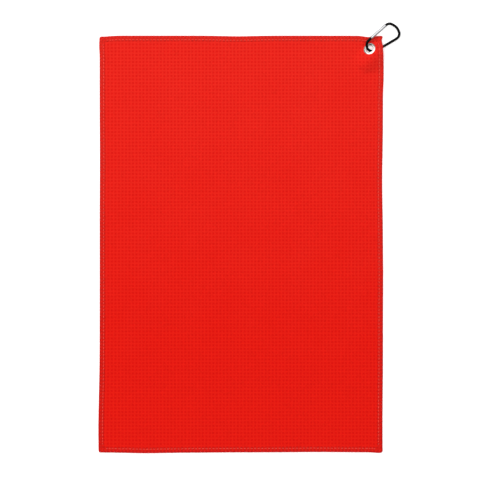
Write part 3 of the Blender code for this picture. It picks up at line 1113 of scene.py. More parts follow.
@dataclass
class TowelCloth:
    """The waffle-weave sheet, its folded hem and the two threads that hold the hem."""

    drape: Drape
    cells_across: int = 81
    cells_along: int = 119
    core: float = 0.5 * MM
    ridge: float = 0.6 * MM
    pressed_half: float = 0.80 * MM
    hole_radius: float = 6.0 * MM
    # A ring of painted shadow on the cloth round the eyelet's flange: its radius, its reach and
    # how dark it is.
    flange_shadow_radius: float = 9.0 * MM
    flange_shadow_reach: float = 1.0 * MM
    flange_shadow_depth: float = 0.8
    between_and_crossing: tuple = (0.64, 0.36)
    hem_station: float = 1.25 * MM
    mitre: float = 20.0 * MM
    corner_round: float = 0.7 * MM
    corner_reach: float = 1.5 * MM
    corner_depth: float = 2.0 * MM
    stitch_inset: float = 5.8 * MM
    stitch_pitch: float = 5.0 * MM
    stitch_half: float = 2.05 * MM
    needle_radius: float = 0.42 * MM
    bobbin_radius: float = 0.26 * MM
    stitch_steps: int = 9
    stitch_sides: int = 10
    stitch_slant: float = 0.16 * MM
    stitch_least: float = 0.93
    stitch_taper: float = 0.45
    needle_bow: tuple = (0.62, 0.95)
    bobbin_bow: tuple = (0.50, 0.30)
    pucker: float = 0.35 * MM
    pucker_reach: float = 1.3 * MM
    edge_pucker: float = 0.10 * MM
    edge_reach: float = 0.8 * MM
    hem_weave: tuple = (1.5 * MM, 8.0 * MM, 0.8 * MM)
    hem_cell_depth: float = 0.22 * MM
    hem_cell_shade: float = 0.45
    hem_low: float = 0.01 * MM
    thread_low: float = 0.02 * MM
    # Lines of painted shade along the hem, each as its place in from the edge and its reach, both
    # in mm, and how dark it is: the folded edge, beside the stitches and the hem's inner edge.
    crease_shades: tuple = ((0.0, 1.4, 0.55), (4.7, 0.7, 0.30), (8.1, 0.7, 0.35))
    weave: WaffleWeave = field(default_factory=WaffleWeave)
    # The hem's weave, with a much darker cell colour: painted shade along the folded edge, beside
    # the stitches, at the hem's inner edge and in the hem's cells.
    folded: WaffleWeave = WaffleWeave("red_fold", cell=(0.34, 0.0040, 0.0065))
    hem_profile: tuple = (
        (0.00, 0.30), (0.10, 0.95), (0.40, 1.45), (0.90, 1.75), (1.70, 1.88), (2.80, 1.92),
        (3.90, 1.88), (4.70, 1.72), (5.30, 1.45), (5.80, 1.28), (6.30, 1.42), (6.80, 1.58),
        (7.30, 1.52), (7.70, 1.25), (8.00, 0.85), (8.20, 0.20), (8.00, -0.60), (7.40, -1.00),
        (6.60, -1.06), (6.20, -0.98), (5.80, -0.78), (5.40, -0.98), (4.80, -1.06),
        (3.20, -1.08), (1.60, -1.06), (0.80, -0.95), (0.30, -0.65), (0.06, -0.20),
    )

    def in_cells(self, x: Array, y: Array, face: Face) -> tuple:
        """Where points are in the weave, counted in cells from its lower left corner.

        Args:
            x: Flat places across the towel.
            y: Flat places along the towel.
            face: The face that is looked at. The cells of the back are half a cell over.

        Returns:
            The column and the row. A ridge runs along every whole number.
        """
        over = 0.0 if face is Face.FRONT else 0.5
        column = (x / self.drape.width + 0.5) * self.cells_across + over
        row = (y / self.drape.length + 0.5) * self.cells_along + over
        return column, row

    def cell_depth(self, x: Array, y: Array, face: Face) -> Array:
        """How deep points are in the cells of the weave.

        Args:
            x: Flat places across the towel.
            y: Flat places along the towel.
            face: The face that is looked at.

        Returns:
            0 on a crossing of two ridges and 1 in the middle of a cell.
        """
        column, row = self.in_cells(x, y, face)
        first = np.cos(math.pi * column) ** 2
        second = np.cos(math.pi * row) ** 2
        crossing = first * second
        between, more = self.between_and_crossing
        either = 1.0 - (1.0 - first) * (1.0 - second)
        return 1.0 - between * either - more * crossing

    def face_height(self, x: Array, y: Array, face: Face) -> Array:
        """How far a face of the cloth is from its middle.

        Args:
            x: Flat places across the towel.
            y: Flat places along the towel.
            face: Which face.

        Returns:
            The distances along the normal.
        """
        loose = self.core + self.ridge * (1.0 - self.cell_depth(x, y, face))
        share = self.drape.lift.pressed(x, y)
        return face.value * (loose * (1.0 - share) + self.pressed_half * share)

    def build(self) -> list:
        """Build the sheet, the hem and the stitches, and fix them to the towel's body.

        Returns:
            The sheet, the hem and the eight rows of stitches.
        """
        material = self.weave.material()
        sheet = self.build_sheet(material)
        hem = self.build_hem(self.folded.material())
        threads = self.build_threads()
        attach(sheet, "towel")
        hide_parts("towel_cloth")
        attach(hem, "towel")
        return [sheet, hem, *threads]

    def build_sheet(self, material: Finish) -> Piece:
        """The sheet between the hems, with a hole for the eyelet.

        Args:
            material: The weave's material.

        Returns:
            The new object, one closed body.
        """
        across = np.arange(2, 2 * self.cells_across - 1) / (2 * self.cells_across) - 0.5
        upward = np.arange(2, 2 * self.cells_along - 1) / (2 * self.cells_along) - 0.5
        x, y = np.meshgrid(across * self.drape.width, upward * self.drape.length)
        kept = self.outside_hole((x[:-1, :-1] + x[1:, 1:]) / 2, (y[:-1, :-1] + y[1:, 1:]) / 2)
        x, y = self.snap_to_hole(x, y, kept)
        place, normal = self.drape.locate(x, y)
        layers = [place + normal * self.face_height(x, y, face)[..., None] for face in Face]
        for layer in layers:
            layer[..., 2] = np.maximum(layer[..., 2], 0.0)
        loose = 1.0 - self.drape.lift.pressed(x, y)
        weave = [np.stack([*self.in_cells(x, y, face), loose], axis=-1) for face in Face]
        faces = self.slab_faces(kept)
        used, renumbered = np.unique(np.array(faces), return_inverse=True)
        points = np.concatenate([layer.reshape(-1, 3) for layer in layers])[used]
        faces = renumbered.reshape(-1, 4).tolist()
        obj = mesh_object("waffle_sheet", points, faces, material, CLOTH_DEGREES)
        weave = np.concatenate([layer.reshape(-1, 3) for layer in weave])[used]
        # Painted shadow: a dark ring on the cloth round the edge of the eyelet's flange.
        flange_shadow = bump(np.hypot(*self.hole_reach(x, y)), self.flange_shadow_radius, self.flange_shadow_reach)
        flange_shadow = np.concatenate([flange_shadow.reshape(-1) * self.flange_shadow_depth] * len(layers))[used]
        self.store_weave(obj, weave, flange_shadow)
        return obj

    def store_weave(self, obj: Piece, weave: Array, crease_shade: Array) -> None:
        """Keep what the weave's material reads from each vertex.

        Args:
            obj: The cloth.
            weave: Column and row in the weave, and how loose it is, from 0 to 1.
            crease_shade: Painted shade at each vertex, for a fold of the hem or the flange ring, 0
                to 1.
        """
        stored = obj.data.attributes.new("weave_place", "FLOAT_VECTOR", "POINT")
        stored.data.foreach_set("vector", np.ascontiguousarray(weave.reshape(-1), np.float32))
        stored = obj.data.attributes.new("crease_shade", "FLOAT", "POINT")
        stored.data.foreach_set("value", np.ascontiguousarray(crease_shade.reshape(-1), np.float32))

    def hole_reach(self, x: Array, y: Array) -> tuple:
        """Where points are from the eyelet's axis, in the eyelet's own plane.

        Args:
            x: Flat places across the towel.
            y: Flat places along the towel.

        Returns:
            The distance along the gate's line and the distance across it.
        """
        along, across = self.drape.lift.place(x, y)
        return along, across / math.cos(self.drape.lift.lean)

    def outside_hole(self, x: Array, y: Array) -> Array:
        """Whether each point is outside the hole for the eyelet."""
        return np.hypot(*self.hole_reach(x, y)) > self.hole_radius

    def snap_to_hole(self, x: Array, y: Array, kept: Array) -> tuple:
        """Move the grid points on the hole's ragged rim onto its circle.

        Args:
            x: Flat places across the towel.
            y: Flat places along the towel.
            kept: Which quads of the grid are kept.

        Returns:
            The changed places.
        """
        edged = np.pad(kept, 1, constant_values=True)
        corners = [edged[:-1, :-1], edged[:-1, 1:], edged[1:, :-1], edged[1:, 1:]]
        count = np.sum(corners, axis=0)
        rim = (count > 0) & (count < 4)
        along, across = self.hole_reach(x, y)
        share = np.where(rim, self.hole_radius / np.maximum(np.hypot(along, across), 1e-6), 1.0)
        eyelet = self.drape.lift.eyelet
        return eyelet.x + (x - eyelet.x) * share, eyelet.y + (y - eyelet.y) * share

    @staticmethod
    def slab_faces(kept: Array) -> list:
        """Faces of a closed slab over the kept quads of a grid.

        Args:
            kept: Which quads are kept.

        Returns:
            Vertex numbers of each face. The back layer's numbers follow the front layer's.
        """
        rows, columns = kept.shape[0] + 1, kept.shape[1] + 1
        front = np.arange(rows * columns).reshape(rows, columns)
        back = front + rows * columns
        corner = [slice(None, -1), slice(1, None)]
        loop = [(0, 0), (0, 1), (1, 1), (1, 0)]
        top = np.stack([front[corner[r], corner[c]] for r, c in loop], -1)[kept]
        low = np.stack([back[corner[r], corner[c]] for r, c in reversed(loop)], -1)[kept]
        faces = [top, low]
        edged = np.pad(kept, 1, constant_values=False)
        sides = {
            (0, 1): edged[:-2, 1:-1], (1, 2): edged[1:-1, 2:],
            (2, 3): edged[2:, 1:-1], (3, 0): edged[1:-1, :-2],
        }
        for (first, second), neighbour in sides.items():
            open_side = kept & ~neighbour
            (r1, c1), (r2, c2) = loop[first], loop[second]
            wall = [
                front[corner[r2], corner[c2]], front[corner[r1], corner[c1]],
                back[corner[r1], corner[c1]], back[corner[r2], corner[c2]],
            ]
            faces.append(np.stack(wall, -1)[open_side])
        return np.concatenate(faces).tolist()

    def hem_places(self, side: Side, run: Array, inset: Array) -> tuple:
        """Flat places on a side's hem.

        Args:
            side: The side.
            run: How far along the side, from its middle, counter-clockwise.
            inset: How far in from the towel's edge.

        Returns:
            The places across and along the towel.
        """
        upright = side in (Side.LEFT, Side.RIGHT)
        half = (self.drape.length if upright else self.drape.width) / 2
        cross = (self.drape.width if upright else self.drape.length) / 2 - inset
        late = np.clip((np.abs(run) - half + self.mitre) / self.mitre, 0.0, None)
        run = run - np.sign(run) * late * inset
        return {
            Side.BOTTOM: (run, -cross), Side.RIGHT: (cross, run),
            Side.TOP: (-run, cross), Side.LEFT: (-cross, -run),
        }[side]

    def hem_length(self, side: Side) -> float:
        """The length of a side of the towel."""
        upright = side in (Side.LEFT, Side.RIGHT)
        return self.drape.length if upright else self.drape.width

    def build_hem(self, material: Finish) -> Piece:
        """The hem: the edge of the cloth, folded under and sewn down, all the way round.

        Args:
            material: The weave's material.

        Returns:
            The new object, one closed body.
        """
        bands = [self.hem_band(side) for side in Side]
        x, y, inset, height = (np.concatenate(part) for part in zip(*bands))
        start, end, fade = self.hem_weave
        # Where the hem's waffle relief shows, and with it the cells' painted shade: rising over
        # the first 1.5 mm in from the edge and gone by 8 mm.
        worn = ease(inset / start) * ease((end - inset) / fade)
        depth = self.cell_depth(x, y, Face.FRONT)
        height = height - np.sign(height) * self.hem_cell_depth * depth * worn
        place, normal = self.drape.locate(x, y)
        points = place + normal * height[..., None]
        points[..., 2] = np.maximum(points[..., 2], self.hem_low)
        faces = rings_to_faces(*height.shape, closed=True)
        obj = mesh_object("folded_hem", points.reshape(-1, 3), faces, material, CLOTH_DEGREES)
        # Painted shade in three lines along the hem: at the folded edge, beside the stitches and
        # at the hem's inner edge.
        crease_shade = sum(
            bump(inset, middle * MM, reach * MM) * much for middle, reach, much in self.crease_shades
        )
        weave = [*self.in_cells(x, y, Face.FRONT), worn * self.hem_cell_shade]
        self.store_weave(obj, np.stack(weave, axis=-1), np.clip(crease_shade, 0.0, 1.0))
        return obj

    def hem_band(self, side: Side) -> tuple:
        """The hem's section, repeated along one side and drawn in at each stitch.

        Args:
            side: The side of the towel.

        Returns:
            Flat places across and along the towel, distances in from the edge, and heights.
        """
        profile = np.array(self.hem_profile) * MM
        length = self.hem_length(side)
        count = round(length / self.hem_station)
        run = (np.arange(count) / count - 0.5) * length
        run, inset = np.meshgrid(run, profile[:, 0], indexing="ij")
        height = np.broadcast_to(profile[:, 1], run.shape)
        end = length / 2 - np.abs(run)
        rounding = bump(end, 0.0, self.corner_reach) * bump(inset, 0.0, self.corner_depth)
        inset = inset + self.corner_round * rounding
        stitch = 0.5 - 0.5 * np.cos(run * math.tau / self.stitch_pitch)
        drawn = bump(inset, self.stitch_inset, self.pucker_reach) * stitch * self.pucker
        height = height - np.sign(height) * drawn
        inset = inset + self.edge_pucker * stitch * bump(inset, 0.0, self.edge_reach)
        return (*self.hem_places(side, run, inset), inset, height)

    def build_threads(self) -> list:
        """Both threads of all four seams, each as its row of stitches.

        Returns:
            The eight rows.
        """
        thread = SewingThread("red_thread").material()
        rng = np.random.default_rng(SEED)
        pieces = []
        for side in Side:
            for word, face in (("needle", Face.FRONT), ("bobbin", Face.BACK)):
                piece = self.build_row(f"{word}_stitches_{side.value}", side, face, thread, rng)
                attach(piece, "towel")
                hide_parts(f"{word}_thread_{side.value}")
                pieces.append(piece)
        return pieces

    def build_row(
        self, name: str, side: Side, face: Face, material: Finish, rng: np.random.Generator
    ) -> Piece:
        """One row of stitches, each a short bowed thread that dips into the cloth at its ends.

        Args:
            name: The piece's name.
            side: The side of the towel.
            face: The face of the cloth.
            material: The thread's material.
            rng: A seeded source of chance, for small differences between stitches.

        Returns:
            The new object.
        """
        half = self.hem_length(side) / 2 - self.stitch_inset
        count = 2 * int((half - self.stitch_half) / self.stitch_pitch) + 1
        middles = (np.arange(count) - (count - 1) / 2) * self.stitch_pitch
        front = face is Face.FRONT
        radius = self.needle_radius if front else self.bobbin_radius
        low, bow = self.needle_bow if front else self.bobbin_bow
        steps = np.linspace(-1.0, 1.0, self.stitch_steps)
        slant = rng.uniform(-self.stitch_slant, self.stitch_slant, count)
        reach = self.stitch_half * rng.uniform(self.stitch_least, 1.0, count)
        run = middles[:, None] + steps * reach[:, None]
        inset = np.broadcast_to(self.stitch_inset + slant[:, None] * steps, run.shape)
        height = face.value * (low + bow * (1.0 - steps**2)) * MM
        x, y = self.hem_places(side, run, inset)
        place, normal = self.drape.locate(x, y)
        middle = place + normal * np.broadcast_to(height, run.shape)[..., None]
        ahead = unit(np.gradient(middle, axis=1))
        out = np.cross(normal, ahead)
        up = np.cross(ahead, out)
        turn = around(self.stitch_sides)
        spread = (
            np.cos(turn)[:, None] * out[..., None, :] + np.sin(turn)[:, None] * up[..., None, :]
        )
        thick = radius * (1.0 - self.stitch_taper * steps**4)
        points = middle[..., None, :] + spread * thick[None, :, None, None]
        points[..., 2] = np.maximum(points[..., 2], self.thread_low)
        faces = []
        for number in range(count):
            faces += rings_to_faces(len(steps), len(turn), number * len(steps) * len(turn))
        return mesh_object(name, points.reshape(-1, 3), faces, material, THREAD_DEGREES)


# ---------------------------------------------------------------------------- eyelet


@dataclass
class Eyelet:
    """The two-part metal eyelet: a flange with its barrel, rolled over a washer at the back."""

    lift: CornerLift
    bore: float = 5.20 * MM
    wall: float = 0.45 * MM
    flange: float = 8.80 * MM
    washer: float = 8.40 * MM
    lip: float = 1.20 * MM
    flange_top: float = 1.25 * MM
    washer_low: float = -1.25 * MM
    lip_low: float = -2.00 * MM
    throat: float = 0.70 * MM
    gap: float = 0.30 * MM
    edge: float = 0.24 * MM
    edge_drop: float = 0.02 * MM
    under_steps: tuple = ((0.5, 0.04), (0.1, 0.16))
    crown_steps: tuple = ((0.40, 0.28), (0.85, 0.13), (1.40, 0.04))
    washer_edge: float = 0.18 * MM
    washer_steps: tuple = ((0.0, 0.10), (0.15, 0.14), (0.5, 0.0))

    def frame(self) -> Matrix:
        """The eyelet's own frame, with its axis along Z.

        Returns:
            The frame, on the cloth's middle surface.
        """
        turn = Matrix.Rotation(self.lift.heading, 4, "Z") @ Matrix.Rotation(
            -self.lift.lean, 4, "X"
        )
        return Matrix.Translation(self.lift.eyelet) @ turn

    def build(self) -> list:
        """Build the flange with its barrel and the washer.

        Returns:
            The two pieces.
        """
        metal = NICKEL.material()
        front = turned("eyelet_flange", self.front_profile(), self.frame(), metal)
        washer = turned("eyelet_washer", self.washer_profile(), self.frame(), metal)
        for piece, node in ((front, "grommet_front"), (washer, "grommet_washer")):
            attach(piece, "towel")
            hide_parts(node)
        return [front, washer]

    def front_profile(self) -> list:
        """The section of the flange, its barrel and the barrel's rolled end.

        Returns:
            Radius and height of each point.
        """
        outer = self.bore + self.wall
        low, edge, throat = self.lip_low, self.edge, self.throat
        crown = self.flange_top
        under = crown - self.wall
        rolled = outer + self.lip
        return [
            *arc((rolled - edge / 2, low + edge), edge, 270, 360, 3),
            (rolled, low + self.wall),
            (outer, low + self.wall),
            (outer, under),
            *((self.flange - i * MM, under - drop * MM) for i, drop in self.under_steps),
            *arc((self.flange - edge / 2, under - self.edge_drop), edge / 2, 270, 390, 4),
            *((self.flange - i * MM, crown - drop * MM) for i, drop in self.crown_steps),
            *arc((self.bore + throat, crown - throat), throat, 90, 180, 8),
            *arc((self.bore + throat, low + throat), throat, 180, 270, 8),
        ]

    def washer_profile(self) -> list:
        """The section of the washer, which is dished a little at its rim.

        Returns:
            Radius and height of each point.
        """
        inner = self.bore + self.wall + self.gap
        low, edge = self.washer_low, self.washer_edge
        high = low + self.wall
        return [
            (inner, low),
            *arc((self.washer - edge, low + edge), edge, 270, 360, 4),
            *((self.washer - i * MM, high + rise * MM) for i, rise in self.washer_steps),
            (inner, high),
        ]


# ---------------------------------------------------------------------------- carabiner


@dataclass
class Carabiner:
    """The snap carabiner: a bent rod, a sprung gate between its ends, and what is inside."""

    origin: Vector = Vector((0.186081, 0.295657, 0.00807))
    heading: float = math.radians(41.0)
    lean: float = math.radians(14.0)
    rod: float = 1.90 * MM
    gate: float = 2.20 * MM
    length: float = 28.9 * MM
    nose_gap: float = 0.40 * MM
    corners: tuple = (
        (-7.5, -0.2), (-14.2, -8.2), (-10.0, -18.1), (35.8, -26.8), (39.1, -12.5), (35.0, 0.0),
    )
    bends: tuple = (6.0, 6.0, 7.0, 8.0, 12.0, 7.0)
    bend_steps: int = 14
    straight_share: float = 0.08
    stations: int = 220
    smoothing: int = 24
    rod_sides: int = 40
    end_taper: float = 0.20 * MM
    tongue: float = 1.50 * MM
    tongue_root: float = 2.4 * MM
    tongue_curve: float = 0.9 * MM
    nose_curve: float = 0.35 * MM
    tongue_half: float = 1.70 * MM
    pivot: float = 2.20 * MM
    pivot_pin: float = 0.70 * MM
    tongue_end: float = 3.90 * MM
    latch: float = 26.0 * MM
    latch_pin: float = 0.60 * MM
    hook_tip: float = 24.1 * MM
    hinge_slot: float = 5.004 * MM
    nose_slot: float = 23.4 * MM
    slot_half: float = 1.05 * MM
    gap: float = 0.30 * MM
    plunger: tuple = (4.20 * MM, 7.20 * MM)
    plunger_radius: float = 1.00 * MM
    spring: tuple = (7.68 * MM, 16.68 * MM)
    spring_radius: float = 0.77 * MM
    spring_wire: float = 0.18 * MM
    spring_turns: int = 7
    bore: tuple = (3.9 * MM, 17.16 * MM)
    bore_radius: float = 1.30 * MM
    travel: float = 0.60 * MM
    hole_reach: float = 2.0 * MM
    cut_reach: float = 4.0 * MM
    cut_past: float = 1.0 * MM
    pin_fit: float = 0.04 * MM
    gate_nose: float = 0.80 * MM
    gate_sides: int = 64
    gate_rings: tuple = (6.0 * MM, 12.0 * MM, 18.0 * MM, 23.0 * MM)
    small_sides: int = 32
    pin_short: float = 0.10 * MM
    pin_curve: float = 0.22 * MM
    pin_dome: float = 0.04 * MM
    plunger_curve: float = 0.4 * MM
    plunger_bevel: float = 0.1 * MM
    coil_steps: int = 20
    wire_sides: int = 8

    @property
    def frame(self) -> Matrix:
        """The carabiner's own frame: X along the gate and Z out of the plane of the rod."""
        turn = Matrix.Rotation(self.heading, 4, "Z") @ Matrix.Rotation(self.lean, 4, "X")
        return Matrix.Translation(self.origin) @ turn

    @property
    def up(self) -> Vector:
        """The direction out of the plane of the rod."""
        return self.frame.to_3x3() @ Vector((0.0, 0.0, 1.0))

    def along(self, x: float) -> Matrix:
        """A frame on the gate's line with its Z along the gate.

        Args:
            x: How far along the gate.

        Returns:
            The frame.
        """
        return self.frame @ Matrix.Translation((x, 0, 0)) @ Matrix.Rotation(math.pi / 2, 4, "Y")

    def across(self, x: float) -> Matrix:
        """A frame at a distance along the gate with its Z across the gate."""
        return self.frame @ Matrix.Translation((x, 0, 0))

    def rod_path(self) -> Array:
        """The middle line of the bent rod, from the hinge end round to the nose end.

        Returns:
            The line's points, at even steps.
        """
        ends = ((-self.nose_gap, 0.0), (self.length + self.nose_gap, 0.0))
        corners = [Vector(corner) * MM for corner in self.corners]
        line = [Vector(ends[0]), *corners, Vector(ends[1])]
        points = [line[0], line[0] + (line[1] - line[0]) * self.straight_share]
        for before, corner, after, bend in zip(line, line[1:], line[2:], self.bends):
            points += self.bend_points(before, corner, after, bend * MM)
        points += [line[-1] + (line[-2] - line[-1]) * self.straight_share, line[-1]]
        flat = self.smoothed(np.array([(p.x, p.y) for p in points]))
        return np.array([self.frame @ Vector((x, y, 0.0)) for x, y in flat])

    def smoothed(self, points: Array) -> Array:
        """Even steps along a line of points, with its changes of bend made gradual.

        Args:
            points: Points in the plane of the rod.

        Returns:
            The new points. The first and last stay where they were.
        """
        reach = np.r_[0.0, np.cumsum(np.linalg.norm(np.diff(points, axis=0), axis=1))]
        even = np.linspace(0.0, reach[-1], self.stations)
        line = np.stack([np.interp(even, reach, points[:, axis]) for axis in (0, 1)], -1)
        for _ in range(self.smoothing):
            line[1:-1] = (line[:-2] + 2.0 * line[1:-1] + line[2:]) / 4.0
        return line

    def bend_points(self, before: Vector, corner: Vector, after: Vector, radius: float) -> list:
        """Points round one bend of the rod.

        Args:
            before: The corner before it.
            corner: The corner that is rounded.
            after: The corner after it.
            radius: The bend's radius.

        Returns:
            The points, both ends of the bend included.
        """
        back = (before - corner).normalized()
        ahead = (after - corner).normalized()
        half = back.angle(ahead) / 2
        centre = corner + (back + ahead).normalized() * (radius / math.sin(half))
        start = corner + back * (radius / math.tan(half)) - centre
        end = corner + ahead * (radius / math.tan(half)) - centre
        sweep = start.angle_signed(end)
        steps = self.bend_steps
        return [centre + Matrix.Rotation(-sweep * i / steps, 2) @ start for i in range(steps + 1)]

    def build(self) -> list:
        """Build all of the carabiner's pieces and fix each to its body.

        Returns:
            The six pieces.
        """
        black, bright, steel = BLACK.material(), ALUMINIUM.material(), STEEL.material()
        rod = self.build_rod(black)
        gate = self.build_gate(bright)
        pivot = self.build_pin("hinge_rivet", self.pivot, self.pivot_pin, steel)
        latch = self.build_pin("latch_pin", self.latch, self.latch_pin, steel)
        plunger = self.build_plunger(steel)
        spring = self.build_spring(steel)
        for piece, body, node, slot in (
            (rod, "carabiner", "carabiner_body", "black_anodised"),
            (gate, "gate", "gate", "satin_aluminium"),
            (pivot, "carabiner", "gate_pivot_pin", "spring_steel"),
            (latch, "gate", "gate_latch_pin", "spring_steel"),
            (spring, "gate", "gate_spring", "spring_steel"),
            (plunger, "plunger", "spring_plunger", "spring_steel"),
        ):
            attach(piece, body)
            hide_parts(node)
        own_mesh(spring)
        return [rod, gate, pivot, latch, plunger, spring]

    def build_rod(self, material: Finish) -> Piece:
        """The bent rod with its hinge tongue and its hooked nose.

        Args:
            material: The rod's material.

        Returns:
            The new object, one closed body.
        """
        path = self.rod_path()
        radii = np.full(len(path), self.rod)
        radii[[0, -1]] -= self.end_taper
        rod = swept("carabiner_rod", path, radii, self.up, material, self.rod_sides)
        hinge = plate("hinge_tongue", self.hinge_outline(), self.tongue, self.frame, material)
        nose = plate("nose_tongue", self.nose_outline(), self.tongue, self.frame, material)
        combine(rod, [hinge, nose], "UNION")
        reach = self.hole_reach
        hole = self.drill(self.pivot_pin + self.gap, -reach, reach, self.across(self.pivot))
        return combine(rod, [hole], "DIFFERENCE")

    def drill(self, radius: float, low: float, high: float, place: Matrix) -> Piece:
        """A cutter for a round hole.

        Args:
            radius: The hole's radius.
            low: Where it starts along its axis.
            high: Where it ends.
            place: A frame with the axis along Z.

        Returns:
            The new object, which wears a plain material.
        """
        profile = [(BY_AXIS, low), (radius, low), (radius, high), (BY_AXIS, high)]
        bare = bpy.data.materials.new("cut")
        return turned("hole", profile, place, bare, self.small_sides, closed=False)

    def hinge_outline(self) -> list:
        """The hinge tongue's outline, rounded at its end.

        Returns:
            Its corners in the plane of the rod.
        """
        reach, inside, curve = self.tongue_half, -self.tongue_root, self.tongue_curve
        return [
            (inside, -reach),
            *arc((self.tongue_end - curve, -reach + curve), curve, 270, 360, 5),
            *arc((self.tongue_end - curve, reach - curve), curve, 0, 90, 5),
            (inside, reach),
        ]

    def nose_outline(self) -> list:
        """The nose tongue's outline, with the notch that the latch pin drops into.

        Returns:
            Its corners in the plane of the rod.
        """
        reach, inside = self.tongue_half, self.length + self.tongue_root
        notch, soft = self.latch_pin + self.gap, self.nose_curve
        return [
            (self.latch + notch, -reach),
            (inside, -reach),
            (inside, reach),
            *arc((self.hook_tip + soft, reach - soft), soft, 90, 180, 3),
            *arc((self.hook_tip + soft, -reach + soft), soft, 180, 270, 3),
            (self.latch - notch, -reach),
            *arc((self.latch, 0.0), notch, 180, 0, 12),
        ]

    def build_gate(self, material: Finish) -> Piece:
        """The turned gate, slotted at both ends and bored for its spring.

        Args:
            material: The gate's material.

        Returns:
            The new object, one closed body.
        """
        nose, slot = self.gate_nose, 2 * self.slot_half
        wide, past = self.cut_reach, self.cut_past
        tail = [(r, x) for x, r in arc((self.pivot, 0.0), self.gate, 180, 90, 12)]
        front = [(r, x) for x, r in arc((self.length - nose, self.gate - nose), nose, 90, 0, 8)]
        middle = [(self.gate, x) for x in self.gate_rings]
        tail[0] = (ON_AXIS, tail[0][1])
        profile = [*tail, *middle, *front, (ON_AXIS, self.length)]
        along = self.along(0.0)
        gate = turned("gate_barrel", profile, along, material, self.gate_sides, closed=False)
        cutters = []
        for low, high in ((-past, self.hinge_slot), (self.nose_slot, self.length + past)):
            outline = [(low, -wide), (high, -wide), (high, wide), (low, wide)]
            cutters.append(plate("slot", outline, slot, self.frame, material))
        cutters.append(self.drill(self.bore_radius, *self.bore, along))
        for place, pin in ((self.pivot, self.pivot_pin), (self.latch, self.latch_pin)):
            cutters.append(self.drill(pin + self.pin_fit, -wide, wide, self.across(place)))
        return combine(gate, cutters, "DIFFERENCE")

    def build_pin(self, name: str, place: float, radius: float, material: Finish) -> Piece:
        """A riveted pin across the gate, with rounded heads.

        Args:
            name: The piece's name.
            place: How far along the gate it is.
            radius: Its radius.
            material: Its material.

        Returns:
            The new object.
        """
        half, soft, dome = self.gate - self.pin_short, self.pin_curve, self.pin_dome
        low = arc((radius - soft, -half + soft), soft, 270, 360, 4)
        high = arc((radius - soft, half - soft), soft, 0, 90, 4)
        profile = [(ON_AXIS, -half - dome), *low, *high, (ON_AXIS, half + dome)]
        return turned(name, profile, self.across(place), material, self.small_sides, closed=False)

    def build_plunger(self, material: Finish) -> Piece:
        """The plunger that the spring presses on the hinge tongue, with a rounded nose.

        Args:
            material: The plunger's material.

        Returns:
            The new object.
        """
        low, high = self.plunger
        radius, soft, bevel = self.plunger_radius, self.plunger_curve, self.plunger_bevel
        profile = [
            (ON_AXIS, low),
            *arc((radius - soft, low + soft), soft, 270, 360, 5),
            (radius, high - bevel),
            (radius - bevel, high),
            (ON_AXIS, high),
        ]
        place, sides = self.along(0.0), self.small_sides
        return turned("spring_plunger_pin", profile, place, material, sides, closed=False)

    def build_spring(self, material: Finish) -> Piece:
        """The coiled spring in the gate's bore.

        Args:
            material: The spring's material.

        Returns:
            The new object.
        """
        steps, radius = self.spring_turns * self.coil_steps, self.spring_radius
        share = np.linspace(0.0, 1.0, steps + 1)
        turn = share * self.spring_turns * math.tau
        x = self.spring[0] + (self.spring[1] - self.spring[0]) * share
        local = np.stack([x, radius * np.cos(turn), radius * np.sin(turn)], -1)
        out = local * (0.0, 1.0, 1.0) / radius
        side = np.cross(unit(np.gradient(local, axis=0)), out)
        turn = around(self.wire_sides)[None, :, None]
        spread = np.cos(turn) * out[:, None, :] + np.sin(turn) * side[:, None, :]
        points = (local[:, None, :] + spread * self.spring_wire).reshape(-1, 3)
        faces = [face[::-1] for face in rings_to_faces(steps + 1, self.wire_sides)]
        points = placed(points, self.frame)
        return mesh_object("coil_spring", points, faces, material, THREAD_DEGREES)


# ---------------------------------------------------------------------------- studio


@dataclass(frozen=True)
class SoftLight:
    """A large soft lamp that looks at the middle of the towel."""

    name: str
    place: tuple
    size: float
    power: float

    def build(self) -> Piece:
        """Build the lamp.

        Returns:
            The new object.
        """
        lamp = bpy.data.lights.new(self.name, "AREA")
        lamp.shape = "DISK"
        lamp.size = self.size
        lamp.energy = self.power
        obj = linked(self.name, lamp)
        obj.location = self.place
        obj.rotation_euler = (-Vector(self.place)).to_track_quat("-Z", "Y").to_euler()
        return obj


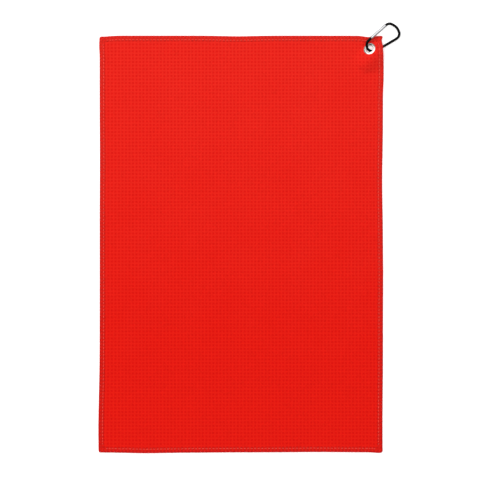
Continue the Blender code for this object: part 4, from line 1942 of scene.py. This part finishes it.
@dataclass
class Studio:
    """A pale floor, a large lamp, a soft sky and a camera straight above the towel."""

    floor_radius: float = 6.0
    floor_drop: float = 0.15 * MM
    floor_sides: int = 64
    middle: tuple = (0.0125, -0.0086)
    camera_height: float = 6.0
    view_width: float = 0.720
    sensor: float = 36.0
    sky: tuple = ((0.0, 0.80), (1.0, 1.0), (0.12, 0.78), (0.20, 0.02), (0.52, 0.02), (0.82, 1.0))
    sky_strength: float = 1.30
    lamp: SoftLight = SoftLight("key_lamp", (-2.2, 2.7, 3.9), 5.0, 130.0)

    def build(self) -> None:
        """Build the floor, the light and the camera."""
        self.build_floor()
        self.lamp.build()
        scene = bpy.context.scene
        scene.view_settings.view_transform = "Standard"
        scene.world = self.build_sky()
        self.build_camera()

    def build_sky(self) -> bpy.types.World:
        """The soft light from all round: bright overhead, dim lower down, pale at the horizon.

        Returns:
            The world.
        """
        world = bpy.data.worlds.new("soft_sky")
        world.use_nodes = True
        tree = world.node_tree
        place = tree.nodes.new("ShaderNodeTexCoord")
        split = tree.nodes.new("ShaderNodeSeparateXYZ")
        ramp = tree.nodes.new("ShaderNodeValToRGB")
        stops = ramp.color_ramp.elements
        for number, (height, light) in enumerate(self.sky):
            stop = stops[number] if number < 2 else stops.new(height)
            stop.position = height
            stop.color = (light, light, light, 1.0)
        tree.links.new(place.outputs["Generated"], split.inputs[0])
        tree.links.new(split.outputs["Z"], ramp.inputs["Fac"])
        tree.links.new(ramp.outputs["Color"], tree.nodes["Background"].inputs["Color"])
        tree.nodes["Background"].inputs["Strength"].default_value = self.sky_strength
        return world

    def build_floor(self) -> None:
        """The floor, just under the towel."""
        turn = around(self.floor_sides)
        rim = np.stack([np.cos(turn), np.sin(turn), np.zeros(len(turn))], -1) * self.floor_radius
        rim[:, 2] = -self.floor_drop
        floor = mesh_object("floor", rim, [tuple(range(len(turn)))], PaleFloor().material())

    def build_camera(self) -> None:
        """The camera, looking straight down through a long lens."""
        camera = bpy.data.cameras.new("camera")
        camera.sensor_width = self.sensor
        camera.lens = self.sensor * self.camera_height / self.view_width
        obj = linked("camera", camera)
        obj.location = (*self.middle, self.camera_height)
        bpy.context.scene.camera = obj


# ---------------------------------------------------------------------------- main


def report(pieces: list) -> None:
    """Say what each piece is made of.

    Args:
        pieces: The pieces of one sub-assembly.
    """
    for piece in pieces:
        LOG.info("%s: %d faces", piece.name, len(piece.data.polygons))


def main() -> None:
    """Build the towel, the eyelet, the carabiner and the studio."""
    logging.basicConfig(level=logging.INFO, format="%(message)s")
    carabiner = Carabiner()
    drape = Drape()
    drape.settle(carabiner.rod_path(), carabiner.rod)
    report(carabiner.build())
    report(Eyelet(drape.lift).build())
    report(TowelCloth(drape).build())
    Studio().build()


if __name__ == "__main__":
    main()
